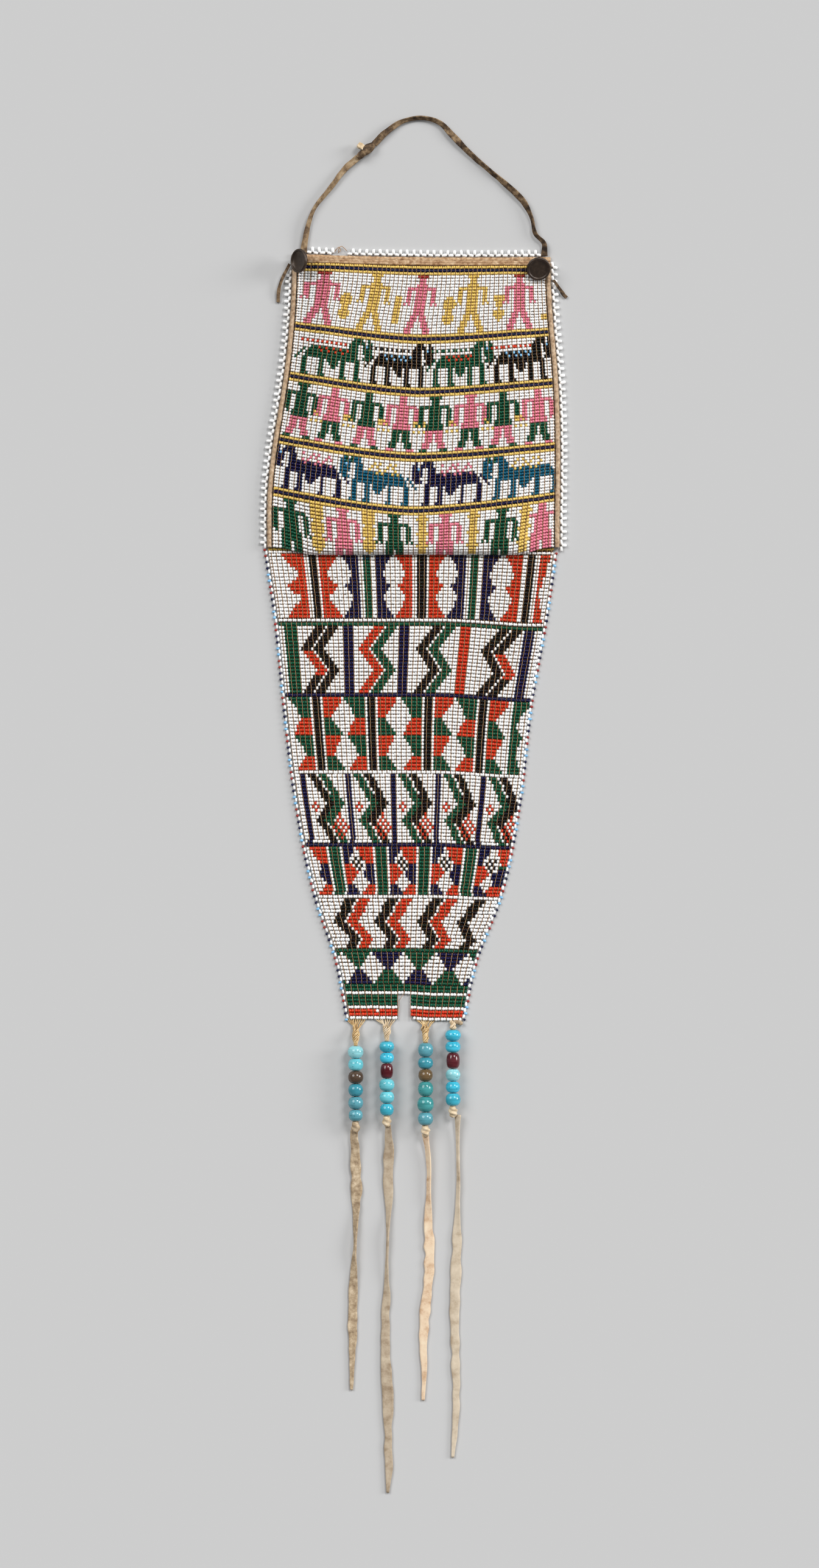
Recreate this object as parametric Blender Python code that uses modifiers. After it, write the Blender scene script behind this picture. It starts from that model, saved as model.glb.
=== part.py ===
"""A woven bead bag, lying flat: an open pouch, a tapering tail and a fringe of strung beads.

Values are in millimetres and the model is in metres. +Y runs from the fringe up to the
strap, +X to the right and +Z up from the surface that the bag lies on.
"""
import math

import bmesh
import bpy
import numpy as np
from mathutils import Matrix, Vector

MM = 0.001
SEAT_GAP = 0.3  # left between two pieces that touch on the real bag

# Weaving
WEAVE_THICKNESS = 1.8
GROOVE_DEPTH = 0.22
GROOVE_WIDTH = 1.4
FRONT_RIDGE = 8.3  # four bead rows
TAIL_RIDGE = 11.0  # about five bead rows
BACK_RIDGE = 20.8

# Pouch
MOUTH_Y = 280.2
POUCH_HEIGHT = 186.8
MOUTH_WIDTH = 162.5
SEAM_WIDTH = 185.0
WIDEST_AT = 0.85  # share of the height at which the sides stop widening
MOUTH_CENTRE_X = 4.3
SEAM_CENTRE_X = -1.0
LEFT_LIP_RISE = 2.8
RIGHT_LIP_RISE = 0.5
FRONT_DROP = 3.2  # front lip below the back lip
POUCH_DEPTH = 6.2  # hollow between the two walls
SIDE_SLOPE = 0.15  # share of the width over which a side rises to full depth
BELLY_ROLL = 8.0  # how far from its bottom edge the front starts to turn down
BELLY_OVERHANG = 4.2
DENTS = ((-76.0, 104.0, 13.0, 0.55), (80.0, 107.0, 10.0, 0.4))  # x, y, radius, share of depth

# Fibre edges
HEM_WIDTH = 3.2
HEM_THICKNESS = 2.0
BINDING_WIDTH = 3.2
BINDING_THICKNESS = 4.4

# Bead edgings
EDGE_BEAD = 1.9
POUCH_EDGE_PITCH = 4.4
POUCH_EDGE_REACH = 4.4
POUCH_EDGE_BASE = 1.9
TAIL_EDGE_PITCH = 8.2
TAIL_EDGE_REACH = 2.8
TAIL_EDGE_BASE = 1.2
TAIL_EDGE_INNER = 0.5
TOP_EDGE_START_X = -69.5
TOP_EDGE_END_X = 81.5
LOST_BEADS_X = (-52.5, -45.5)
EDGE_INNER_STEP = 24.0  # between points of an edging's inner side

# Tail: share of the length, width and centre of the woven field
TAIL_LENGTH = 310.0
TAIL_STATIONS = (
    (0.00, 188.0, -2.7),
    (0.14, 175.5, -2.6),
    (0.34, 158.4, -4.8),
    (0.54, 143.6, -4.6),
    (0.75, 116.4, -4.6),
    (0.87, 89.5, -5.6),
    (1.00, 73.0, -6.2),
)
NOTCH_DEPTH = 15.5
NOTCH_TOP_WIDTH = 5.4
NOTCH_FOOT_WIDTH = 9.4
NOTCH_CENTRE_X = -7.0

# Buttons
BUTTON_DIAMETER = 15.8
BUTTON_THICKNESS = 3.4
BUTTON_RIM = 1.5
SHANK_DIAMETER = 3.6
SHANK_LENGTH = 2.0
MILLED_TEETH = 12
MILLED_DEPTH = 0.3

LEFT_BUTTON_INSET = 2.85  # from the corner of the mouth to the middle of the button
LEFT_BUTTON_ABOVE_MOUTH = 0.4
LEFT_BUTTON_LIFT = 5.1  # of its back's middle over the binding
RIGHT_BUTTON_INSET = 4.75
RIGHT_BUTTON_BELOW_MOUTH = 3.8
RIGHT_BUTTON_LIFT = 3.4854  # of its back's middle over the front wall

# Fringe
CORE_DIAMETER = 2.2
BORE_CLEARANCE = 0.3
BEAD_SIDES = 8
KNOT_LENGTH = 5.4
KNOT_DIAMETER = 5.2
CORD_DIAMETER = 4.6
THREADS_SPREAD = 5.0  # length of the fan of warp threads below the tail

SEAM_Y = MOUTH_Y - POUCH_HEIGHT
TAIL_TOP_Y = SEAM_Y - SEAT_GAP
FOOT_Y = TAIL_TOP_Y - TAIL_LENGTH
HALF_WEAVE = WEAVE_THICKNESS / 2
EDGE_Z = WEAVE_THICKNESS + SEAT_GAP + 0.2 + HALF_WEAVE  # front wall's middle at its edges

COLOURS = {
    "white_beads": (0.86, 0.85, 0.82),
    "tail_beads": (0.62, 0.35, 0.27),
    "fibre": (0.55, 0.37, 0.22),
    "hide": (0.42, 0.33, 0.23),
    "pale_hide": (0.66, 0.54, 0.40),
    "cream_hide": (0.82, 0.64, 0.44),
    "bronze": (0.06, 0.045, 0.035),
    "turquoise": (0.10, 0.52, 0.62),
    "pale_turquoise": (0.25, 0.66, 0.72),
    "teal": (0.10, 0.36, 0.42),
    "brown": (0.14, 0.09, 0.06),
    "dark_red": (0.16, 0.02, 0.03),
    "olive": (0.25, 0.18, 0.09),
}

# Each strand: x, length of its gathered threads below the tail's foot, x and width of the
# threads at the foot, then its beads from the top as diameter, length and colour
STRANDS = (
    (-38.8, 16.9, -38.8, 12.0, (
        (10.2, 8.0, "pale_turquoise"), (10.0, 7.9, "turquoise"), (10.0, 8.1, "brown"),
        (9.8, 8.1, "teal"), (10.0, 8.1, "teal"), (9.4, 7.6, "teal"))),
    (-18.4, 13.8, -19.5, 13.0, (
        (9.8, 7.1, "turquoise"), (9.4, 7.0, "turquoise"), (8.4, 9.6, "dark_red"),
        (10.2, 8.0, "pale_turquoise"), (9.6, 7.7, "pale_turquoise"), (9.2, 7.9, "turquoise"))),
    (7.0, 14.9, 7.0, 13.0, (
        (10.0, 9.1, "teal"), (10.0, 7.6, "teal"), (9.6, 7.8, "olive"),
        (10.0, 9.5, "teal"), (11.0, 10.0, "teal"), (10.0, 8.5, "teal"))),
    (25.0, 6.3, 25.2, 9.5, (
        (10.2, 7.3, "turquoise"), (10.0, 7.3, "turquoise"), (8.9, 10.2, "dark_red"),
        (9.6, 7.9, "pale_turquoise"), (9.6, 7.4, "turquoise"), (9.8, 8.3, "turquoise"))),
)

# Thongs: route as x, y, z, width over the widest, and turn of the flat side in degrees.
# A turn of 90 lies flat. A streamer's route leaves out y and ends with its length instead.
STRAP_WIDTH = 4.2
STRAP_THICKNESS = 1.5
STRAP_LEFT = (
    (-73.2, 286.9, 1.4, 1.00, 90), (-71.0, 301.0, 2.1, 0.90, 60), (-66.8, 314.6, 2.3, 0.75, 30),
    (-55.2, 329.8, 2.3, 0.85, 60), (-45.2, 342.6, 2.0, 0.95, 90), (-37.4, 349.4, 2.2, 1.00, 80),
)
STRAP_RIGHT = (
    (-26.9, 358.2, 2.2, 1.00, 70), (-19.6, 365.2, 2.3, 1.00, 80), (-9.6, 372.6, 2.2, 0.80, 60),
    (4.0, 375.6, 2.4, 0.75, 40), (16.8, 372.0, 2.3, 0.85, 60), (24.8, 363.6, 1.9, 1.00, 90),
    (36.0, 352.4, 2.2, 0.90, 60), (49.2, 340.8, 2.4, 0.85, 40), (63.2, 328.8, 2.2, 0.95, 70),
    (72.0, 319.6, 2.3, 0.90, 60), (77.0, 309.0, 2.2, 0.65, 40), (79.4, 299.0, 2.3, 0.70, 60),
    (84.9, 293.0, 2.2, 0.80, 60), (84.9, 284.7, 1.4, 1.00, 90),
)
TIE_WIDTH = 2.4
TIE_THICKNESS = 1.2
TIE_LEFT = (
    (-82.2, 279.4, 2.6, 0.80, 90), (-85.8, 272.4, 3.0, 0.80, 90),
    (-88.8, 265.2, 2.2, 0.80, 90), (-89.9, 254.4, 0.8, 1.00, 90),
)
TIE_RIGHT = (
    (91.0, 268.6, 4.6, 0.70, 90), (94.0, 264.4, 2.8, 0.80, 90),
    (97.0, 260.4, 1.0, 0.90, 90), (99.6, 257.4, 0.8, 1.00, 90),
)
STREAMER_WIDTH = 6.4
STREAMER_THICKNESS = 1.4
STREAMERS = (
    ("pale_hide", (
        (-39.6, 4.0, 0.80, 60), (-39.0, 1.8, 1.00, 90), (-38.4, 1.0, 1.05, 90),
        (-38.6, 1.6, 0.70, 60), (-39.2, 2.4, 0.60, 20), (-40.2, 1.6, 0.80, 70),
        (-40.5, 0.9, 0.95, 90), (-41.0, 0.9, 0.90, 90), (-41.2, 0.9, 0.60, 90),
        (-41.6, 0.9, 0.30, 90)), 170.9),
    ("pale_hide", (
        (-17.4, 4.0, 0.70, 60), (-17.2, 1.8, 1.00, 90), (-17.6, 1.0, 0.95, 90),
        (-17.3, 1.4, 0.70, 70), (-17.8, 2.4, 0.45, 20), (-18.4, 2.0, 0.40, 40),
        (-18.6, 1.2, 0.70, 80), (-19.2, 0.9, 0.90, 90), (-19.2, 0.9, 0.90, 90),
        (-18.4, 0.9, 1.00, 90), (-17.6, 0.9, 1.05, 90), (-17.6, 0.9, 0.80, 90),
        (-17.0, 0.9, 0.85, 90), (-17.8, 0.9, 0.30, 90)), 242.1),
    ("cream_hide", (
        (6.8, 4.0, 0.80, 60), (9.2, 2.4, 0.65, 40), (9.2, 2.2, 0.60, 50),
        (8.8, 1.2, 0.90, 90), (9.8, 0.9, 1.00, 90), (8.6, 0.9, 0.95, 90),
        (6.6, 0.9, 1.00, 90), (5.6, 0.9, 0.90, 90), (6.2, 0.9, 0.55, 90),
        (5.3, 0.9, 0.30, 90)), 175.0),
    ("pale_hide", (
        (28.2, 4.0, 0.70, 60), (28.2, 2.0, 0.45, 40), (28.6, 1.8, 0.45, 40),
        (28.2, 1.6, 0.55, 60), (27.8, 1.0, 0.95, 90), (26.8, 0.9, 1.05, 90),
        (26.2, 0.9, 1.00, 90), (26.4, 0.9, 0.90, 90), (26.8, 0.9, 0.85, 90),
        (27.2, 0.9, 0.80, 90), (26.4, 0.9, 0.65, 90), (24.8, 0.9, 0.30, 90)), 225.3),
)


def smoothstep(value):
    """Rise from 0 to 1 with level ends."""
    value = np.clip(value, 0.0, 1.0)
    return value * value * (3.0 - 2.0 * value)


def smooth_through(knots, values, at):
    """Read a cubic Hermite curve through values at knots, its slopes taken from its neighbours."""
    knots = np.asarray(knots, float)
    values = np.asarray(values, float)
    slopes = np.gradient(values, knots, axis=0)
    at = np.atleast_1d(np.asarray(at, float))
    index = np.clip(np.searchsorted(knots, at, side="right") - 1, 0, len(knots) - 2)
    span = knots[index + 1] - knots[index]
    t = (at - knots[index]) / span
    shape = (-1,) + (1,) * (values.ndim - 1)
    t = t.reshape(shape)
    span = span.reshape(shape)
    return (
        (2 * t**3 - 3 * t**2 + 1) * values[index]
        + (t**3 - 2 * t**2 + t) * span * slopes[index]
        + (3 * t**2 - 2 * t**3) * values[index + 1]
        + (t**3 - t**2) * span * slopes[index + 1]
    )


def pouch_span(y):
    """Left and right edge of the pouch's woven field at a height."""
    t = (MOUTH_Y - np.asarray(y, float)) / POUCH_HEIGHT
    width = MOUTH_WIDTH + (SEAM_WIDTH - MOUTH_WIDTH) * smoothstep(t / WIDEST_AT)
    centre = MOUTH_CENTRE_X + (SEAM_CENTRE_X - MOUTH_CENTRE_X) * smoothstep((t - 0.3) / 0.6)
    return centre - width / 2, centre + width / 2


def tail_span(y):
    """Left and right edge of the tail's woven field at a height."""
    stations = np.array(TAIL_STATIONS)
    t = np.clip((TAIL_TOP_Y - np.asarray(y, float)) / TAIL_LENGTH, 0.0, 1.0)
    width, centre = smooth_through(stations[:, 0], stations[:, 1:], t).T
    return centre - width / 2, centre + width / 2


def lip_rise(u):
    """How far the mouth's edge curves up towards its two ends, for u from left to right."""
    return LEFT_LIP_RISE * (1 - u) ** 3 + RIGHT_LIP_RISE * u**3


def front_wall(u, s):
    """Middle surface of the pouch's front wall, for u across and s down from lip to bottom edge.

    The wall stands off the back by the pouch's depth, slopes down to both sides and turns
    down in a quarter ellipse along its bottom, which hangs a little over the tail.
    """
    lip = MOUTH_Y - FRONT_DROP + lip_rise(u)
    rise = smoothstep(np.minimum(u, 1 - u) / SIDE_SLOPE)
    bottom = SEAM_Y - BELLY_OVERHANG * rise
    straight = lip - bottom - BELLY_ROLL
    arc = BELLY_ROLL * math.pi / 2
    travelled = s * (straight + arc)
    turn = np.clip((travelled - straight) / BELLY_ROLL, 0.0, math.pi / 2)
    y = lip - np.minimum(travelled, straight) - BELLY_ROLL * np.sin(turn)
    left, right = pouch_span(y)
    x = left + u * (right - left)
    dent = sum(
        share * np.exp(-((x - dx) ** 2 + (y - dy) ** 2) / radius**2)
        for dx, dy, radius, share in DENTS
    )
    low = EDGE_Z - (HALF_WEAVE + 0.05) * rise * (turn > 0) * np.sin(turn)
    z = low + (POUCH_DEPTH + EDGE_Z - low) * rise * np.cos(turn) * (1 - dent)
    return np.stack([x, y, z], axis=-1)


def surface_normals(points):
    """Upward unit normals of a grid of points, from the slopes to its neighbours."""
    down = np.gradient(points, axis=0)
    across = np.gradient(points, axis=1)
    normal = np.cross(down, across)
    return normal / np.linalg.norm(normal, axis=2, keepdims=True)


def groove_rows(start, end, ridge):
    """Row places and half thicknesses of flat ridges with a V groove between each two."""
    count = max(1, round((end - start) / ridge))
    pitch = (end - start) / count
    places = []
    halves = []
    for k in range(count):
        low = start + k * pitch
        places += [low, low + pitch - GROOVE_WIDTH, low + pitch - GROOVE_WIDTH / 2]
        halves += [HALF_WEAVE, HALF_WEAVE, HALF_WEAVE - GROOVE_DEPTH]
    return places + [end], halves + [HALF_WEAVE]


def make_material(name):
    """A plain Principled finish in one of the bag's colours."""
    material = bpy.data.materials.get(name)
    if material is None:
        material = bpy.data.materials.new(name)
        material.use_nodes = True
        shader = material.node_tree.nodes["Principled BSDF"]
        shader.inputs["Base Color"].default_value = (*COLOURS[name.rsplit("_of_", 1)[0]], 1.0)
        shader.inputs["Roughness"].default_value = 0.4 if "bead" in name else 0.7
        shader.inputs["Metallic"].default_value = 1.0 if name.startswith("bronze") else 0.0
    return material


def add_object(name, data, colour):
    """Put a named piece with its own material into the bag's collection."""
    obj = bpy.data.objects.new(name, data)
    data.materials.append(make_material(f"{colour}_of_{name}"))
    bag.objects.link(obj)
    return obj


def mesh_from(name, points, faces, colour):
    """A closed mesh whose faces point outwards, smooth except at sharp edges."""
    mesh = bpy.data.meshes.new(name)
    mesh.from_pydata([tuple(point) for point in np.asarray(points) * MM], [], faces)
    shape = bmesh.new()
    shape.from_mesh(mesh)
    bmesh.ops.recalc_face_normals(shape, faces=shape.faces)
    shape.to_mesh(mesh)
    shape.free()
    mesh.shade_smooth()
    mesh.set_sharp_from_angle(angle=math.radians(40))
    return add_object(name, mesh, colour)


def woven_panel(name, middle, normal, half, colour, kept=None):
    """A woven sheet: a grid offset both ways along its normals, with walls at every open side."""
    rows, columns = middle.shape[:2]
    offset = normal * np.asarray(half)[:, None, None]
    points = np.concatenate([(middle + offset).reshape(-1, 3), (middle - offset).reshape(-1, 3)])
    under = rows * columns
    index = np.arange(under).reshape(rows, columns)
    kept = np.ones((rows - 1, columns - 1), bool) if kept is None else kept
    padded = np.pad(kept, 1)
    faces = []
    for r, c in np.argwhere(kept):
        corners = [int(index[r, c]), int(index[r, c + 1]), int(index[r + 1, c + 1]), int(index[r + 1, c])]
        faces.append(corners)
        faces.append([corner + under for corner in reversed(corners)])
        neighbours = (padded[r, c + 1], padded[r + 1, c + 2], padded[r + 2, c + 1], padded[r + 1, c])
        for side, filled in enumerate(neighbours):
            if not filled:
                a, b = corners[side], corners[(side + 1) % 4]
                faces.append([b, a, a + under, b + under])
    return mesh_from(name, points, faces, colour)


def make_pouch_walls():
    """The front wall, raised off a flat back wall of the same outline."""
    u = np.array([0.0, 0.05, 0.1, 0.16, 0.36, 0.64, 0.84, 0.9, 0.95, 1.0])
    length = POUCH_HEIGHT - FRONT_DROP + BELLY_OVERHANG + BELLY_ROLL * (math.pi / 2 - 1)
    ridges = round(length / FRONT_RIDGE)
    s = np.linspace(0.0, 1.0, 2 * ridges + 1)
    middle = front_wall(u[None, :], s[:, None])
    half = HALF_WEAVE - GROOVE_DEPTH * (np.arange(len(s)) % 2 == 0)
    woven_panel("pouch_front", middle, surface_normals(middle), half, "white_beads")

    places, halves = groove_rows(0.0, POUCH_HEIGHT, BACK_RIDGE)
    share = np.array(places) / POUCH_HEIGHT
    u = np.linspace(0.0, 1.0, 4)
    y = MOUTH_Y + lip_rise(u)[None, :] - share[:, None] * (POUCH_HEIGHT + lip_rise(u)[None, :])
    left, right = pouch_span(y)
    x = left + u[None, :] * (right - left)
    flat = np.stack([x, y, np.full_like(x, HALF_WEAVE)], axis=-1)
    upright = np.broadcast_to([0.0, 0.0, 1.0], flat.shape)
    woven_panel("pouch_back", flat, upright, halves, "white_beads")


def notch_sides(y):
    """Left and right side of the notch that parts the tail's foot into two tabs."""
    share = np.clip((FOOT_Y + NOTCH_DEPTH - y) / NOTCH_DEPTH, 0.0, 1.0)
    half = (NOTCH_TOP_WIDTH + (NOTCH_FOOT_WIDTH - NOTCH_TOP_WIDTH) * share) / 2
    return NOTCH_CENTRE_X - half, NOTCH_CENTRE_X + half


def make_tail():
    """The tapering tail, three strips wide, the middle one ending at the notch."""
    notch = TAIL_LENGTH - NOTCH_DEPTH
    upper, upper_half = groove_rows(0.0, notch, TAIL_RIDGE)
    lower, lower_half = groove_rows(notch, TAIL_LENGTH, TAIL_RIDGE)
    y = TAIL_TOP_Y - np.array(upper + lower[1:])
    half = upper_half + lower_half[1:]
    left, right = tail_span(y)
    notch_left, notch_right = notch_sides(y)
    x = np.stack([left, notch_left, notch_right, right], axis=1)
    flat = np.stack([x, np.repeat(y[:, None], 4, axis=1), np.full_like(x, HALF_WEAVE)], axis=-1)
    kept = np.ones((len(y) - 1, 3), bool)
    kept[len(upper) - 1:, 1] = False
    upright = np.broadcast_to([0.0, 0.0, 1.0], flat.shape)
    woven_panel("tail", flat, upright, half, "tail_beads", kept)


def ribbon(name, points, width, thickness, colour, scales=None, turns=None):
    """A strip with rounded edges along a path, as a bevelled and extruded curve.

    A turn of 0 stands the strip on edge and 90 lays it flat.
    """
    curve = bpy.data.curves.new(name, "CURVE")
    curve.dimensions = "3D"
    curve.twist_mode = "Z_UP"
    curve.fill_mode = "FULL"
    curve.extrude = (width - thickness) / 2 * MM
    curve.bevel_depth = thickness / 2 * MM
    curve.bevel_resolution = 0
    curve.use_fill_caps = True
    spline = curve.splines.new("POLY")
    spline.points.add(len(points) - 1)
    for i, point in enumerate(points):
        spline.points[i].co = (*(Vector(point) * MM), 1.0)
        spline.points[i].radius = 1.0 if scales is None else float(scales[i])
        spline.points[i].tilt = math.radians(90 if turns is None else float(turns[i]))
    return add_object(name, curve, colour)


def make_hems():
    """The rolled fibre hems of the two lips of the mouth."""
    u = np.linspace(0.0, 1.0, 14)
    y = MOUTH_Y + lip_rise(u) + SEAT_GAP + HEM_WIDTH / 2
    left, right = pouch_span(MOUTH_Y + lip_rise(u))
    reach = SEAT_GAP + BINDING_WIDTH
    x = left - reach + u * (right - left + 2 * reach)
    z = np.full_like(x, HEM_THICKNESS / 2)
    ribbon("back_lip_hem", np.stack([x, y, z], axis=1), HEM_WIDTH, HEM_THICKNESS, "fibre")

    u = np.array([0.004, 0.05, 0.1, 0.16, 0.25, 0.36, 0.5, 0.64, 0.75, 0.84, 0.9, 0.95, 0.996])
    points = front_wall(u, np.zeros_like(u))
    points[:, 1] += SEAT_GAP + HEM_WIDTH / 2
    points[:, 2] = np.maximum(points[:, 2], HEM_THICKNESS * 1.5 + SEAT_GAP + 0.1)
    ribbon("front_lip_hem", points, HEM_WIDTH, HEM_THICKNESS, "fibre")


def side_path(span, side, low, high, count, outwards):
    """Points along one side of a panel, from high to low, moved outwards square to it."""
    y = np.linspace(high, low, count)
    x = span(y)[side]
    sign = -1.0 if side == 0 else 1.0
    slope = np.gradient(x, y)
    length = np.sqrt(1 + slope**2)
    return np.stack([x + sign * outwards / length, y - sign * outwards * slope / length], axis=1)


def make_bindings():
    """The fibre bindings that close the two sides of the pouch."""
    for side, name in enumerate(("side_binding_left", "side_binding_right")):
        rise = (LEFT_LIP_RISE, RIGHT_LIP_RISE)[side]
        path = side_path(pouch_span, side, SEAM_Y, MOUTH_Y + rise - SEAT_GAP, 12,
                         SEAT_GAP + BINDING_WIDTH / 2)
        points = np.column_stack([path, np.full(len(path), BINDING_THICKNESS / 2)])
        # The strip stands on edge here: its thickness is the binding's width.
        ribbon(name, points, BINDING_THICKNESS, BINDING_WIDTH, "fibre", turns=np.zeros(len(path)))


def edging(name, path, inner, base, reach, z, colour, toothless=()):
    """A row of beads sewn along an edge: a strip with one tooth for each bead that stands out.

    The path runs along the carrying edge, with a point at the start of each pitch. inner,
    base and reach are distances square to it. Teeth whose number is in toothless are lost,
    and only their thread remains.
    """
    path = np.asarray(path)
    along = np.gradient(path, axis=0)
    along /= np.linalg.norm(along, axis=1, keepdims=True)
    out = np.stack([along[:, 1], -along[:, 0]], axis=1)
    outline = [path[0] + out[0] * base]
    for k in range(len(path) - 1):
        step = path[k + 1] - path[k]
        if k in toothless:
            for share in (0.05, 0.95):
                outline.append(path[k] + step * share + out[k] * (inner + 0.5))
            continue
        outline.append(path[k] + step * 0.12 + out[k] * base)
        outline.append(path[k] + step * 0.3 + out[k] * reach)
        outline.append(path[k] + step * 0.72 + out[k] * reach)
    outline.append(path[-1] + out[-1] * base)
    stops = 1 + round(np.linalg.norm(path[-1] - path[0]) / EDGE_INNER_STEP)
    spaced = np.unique(np.linspace(len(path) - 1, 0, stops).round().astype(int))[::-1]
    outline += [path[k] + out[k] * inner for k in spaced]
    curve = bpy.data.curves.new(name, "CURVE")
    curve.dimensions = "2D"
    curve.fill_mode = "BOTH"
    curve.extrude = EDGE_BEAD / 2 * MM
    spline = curve.splines.new("POLY")
    spline.points.add(len(outline) - 1)
    spline.use_cyclic_u = True
    for point, (x, y) in zip(spline.points, outline):
        point.co = (x * MM, y * MM, 0.0, 1.0)
    obj = add_object(name, curve, colour)
    obj.location.z = z * MM
    return obj


def make_edgings():
    """White beads round the pouch, and coloured beads down both sides of the tail."""
    count = round((TOP_EDGE_END_X - TOP_EDGE_START_X) / POUCH_EDGE_PITCH)
    x = np.linspace(TOP_EDGE_START_X, TOP_EDGE_END_X, count + 1)
    left, right = pouch_span(np.full_like(x, MOUTH_Y))
    y = MOUTH_Y + lip_rise((x - left) / (right - left)) + SEAT_GAP + HEM_WIDTH
    # From right to left, so that the beads stand on its upper side.
    path = np.stack([x, y], axis=1)[::-1]
    lost = [k for k in range(count) if LOST_BEADS_X[0] < path[k, 0] < LOST_BEADS_X[1]]
    edging("top_bead_edging", path, SEAT_GAP, POUCH_EDGE_BASE, POUCH_EDGE_REACH,
           HEM_THICKNESS / 2, "white_beads", lost)

    sides = (
        ("left_bead_edging", pouch_span, 0, SEAM_Y + 1.0, MOUTH_Y - 6.0),
        ("right_bead_edging", pouch_span, 1, SEAM_Y - 1.0, MOUTH_Y - 1.0),
    )
    for name, span, side, low, high in sides:
        count = round((high - low) / POUCH_EDGE_PITCH)
        path = side_path(span, side, low, high, count + 1, SEAT_GAP + BINDING_WIDTH)
        path = path[::-1] if side == 1 else path
        edging(name, path, SEAT_GAP, POUCH_EDGE_BASE, POUCH_EDGE_REACH,
               EDGE_BEAD / 2 + 0.1, "white_beads")
    for side, name in enumerate(("left_tail_edging", "right_tail_edging")):
        count = round(TAIL_LENGTH / TAIL_EDGE_PITCH)
        path = side_path(tail_span, side, FOOT_Y + 0.5, TAIL_TOP_Y - 2.5 * side - 1.0, count + 1, 0.0)
        path = path[::-1] if side == 1 else path
        edging(name, path, TAIL_EDGE_INNER, TAIL_EDGE_BASE, TAIL_EDGE_REACH,
               EDGE_BEAD / 2, "white_beads")


def rings_mesh(name, rings, colour, closed_loop=False):
    """Skin a stack of rings of equal count, with flat ends or, for a bore, joined end to end."""
    rings = np.asarray(rings)
    levels, around = rings.shape[:2]
    index = np.arange(levels * around).reshape(levels, around)
    faces = []
    for level in range(levels if closed_loop else levels - 1):
        a, b = index[level], index[(level + 1) % levels]
        for k in range(around):
            n = (k + 1) % around
            faces.append([int(a[k]), int(a[n]), int(b[n]), int(b[k])])
    if not closed_loop:
        faces += [[int(i) for i in reversed(index[0])], [int(i) for i in index[-1]]]
    return mesh_from(name, rings.reshape(-1, 3), faces, colour)


def make_button(name, recess, centre, lean, turn):
    """A cast button: a milled rim round a sunken face, and a stub of a shank behind.

    lean tips its face from straight up, towards the direction turn (degrees from +X).
    """
    radius = BUTTON_DIAMETER / 2
    profile = (
        (SHANK_DIAMETER / 2, -SHANK_LENGTH, 0), (SHANK_DIAMETER / 2, 0.0, 0),
        (radius * 0.82, 0.0, 0), (radius, BUTTON_THICKNESS * 0.35, 1),
        (radius, BUTTON_THICKNESS * 0.8, 1), (radius - 0.4, BUTTON_THICKNESS, 0),
        (radius - BUTTON_RIM, BUTTON_THICKNESS, 0),
        (radius - BUTTON_RIM - 0.6, BUTTON_THICKNESS - recess, 0),
        (radius * 0.3, BUTTON_THICKNESS - recess * 1.15, 0),
    )
    count = 2 * MILLED_TEETH
    angle = np.arange(count) * 2 * math.pi / count
    tooth = np.where(np.arange(count) % 2, -MILLED_DEPTH, 0.0)
    rings = []
    for r, height, milled in profile:
        reach = r + tooth * milled
        rings.append(np.stack([reach * np.cos(angle), reach * np.sin(angle), np.full(count, height)], 1))
    tip = Matrix.Rotation(math.radians(turn), 3, "Z") @ Matrix.Rotation(math.radians(lean), 3, "Y")
    rings = np.array(rings) @ np.array(tip).T + np.array(centre)
    return rings_mesh(name, rings, "bronze")


def make_buttons():
    """A button on each corner of the mouth: the left one leans over the binding, the right one
    rests on the front wall."""
    left, right = pouch_span(MOUTH_Y)
    make_button("button_left", 1.6, (
        left + LEFT_BUTTON_INSET, MOUTH_Y + LEFT_BUTTON_ABOVE_MOUTH,
        BINDING_THICKNESS + LEFT_BUTTON_LIFT), 50, 180)
    x = right - RIGHT_BUTTON_INSET
    wall = front_wall((x - left) / (right - left), 0.0)[2] + HALF_WEAVE
    make_button("button_right", 0.5, (
        x, MOUTH_Y - RIGHT_BUTTON_BELOW_MOUTH, wall + RIGHT_BUTTON_LIFT), 27, -80)


def bead_profile(diameter, length):
    """A pony bead's section: bore, rounded outer side, closed back on itself."""
    bore = (CORE_DIAMETER / 2 + BORE_CLEARANCE) / math.cos(math.pi / BEAD_SIDES)
    radius = diameter / 2
    half = length / 2
    return (
        (bore, half), (radius * 0.66, half), (radius, half * 0.42),
        (radius, -half * 0.42), (radius * 0.66, -half), (bore, -half),
    )


def make_bead(name, diameter, length, centre, colour):
    """A large bead, its profile turned about the thong that it is strung on."""
    mesh = bpy.data.meshes.new(name)
    profile = [(r * MM, 0.0, h * MM) for r, h in bead_profile(diameter, length)]
    mesh.from_pydata(profile, [(k, (k + 1) % len(profile)) for k in range(len(profile))], [])
    obj = add_object(name, mesh, colour)
    screw = obj.modifiers.new("turn", "SCREW")
    screw.steps = BEAD_SIDES
    screw.render_steps = BEAD_SIDES
    screw.use_merge_vertices = True
    screw.merge_threshold = 0.00005
    obj.rotation_euler.x = math.radians(-90)
    obj.location = Vector(centre) * MM
    return obj


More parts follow.
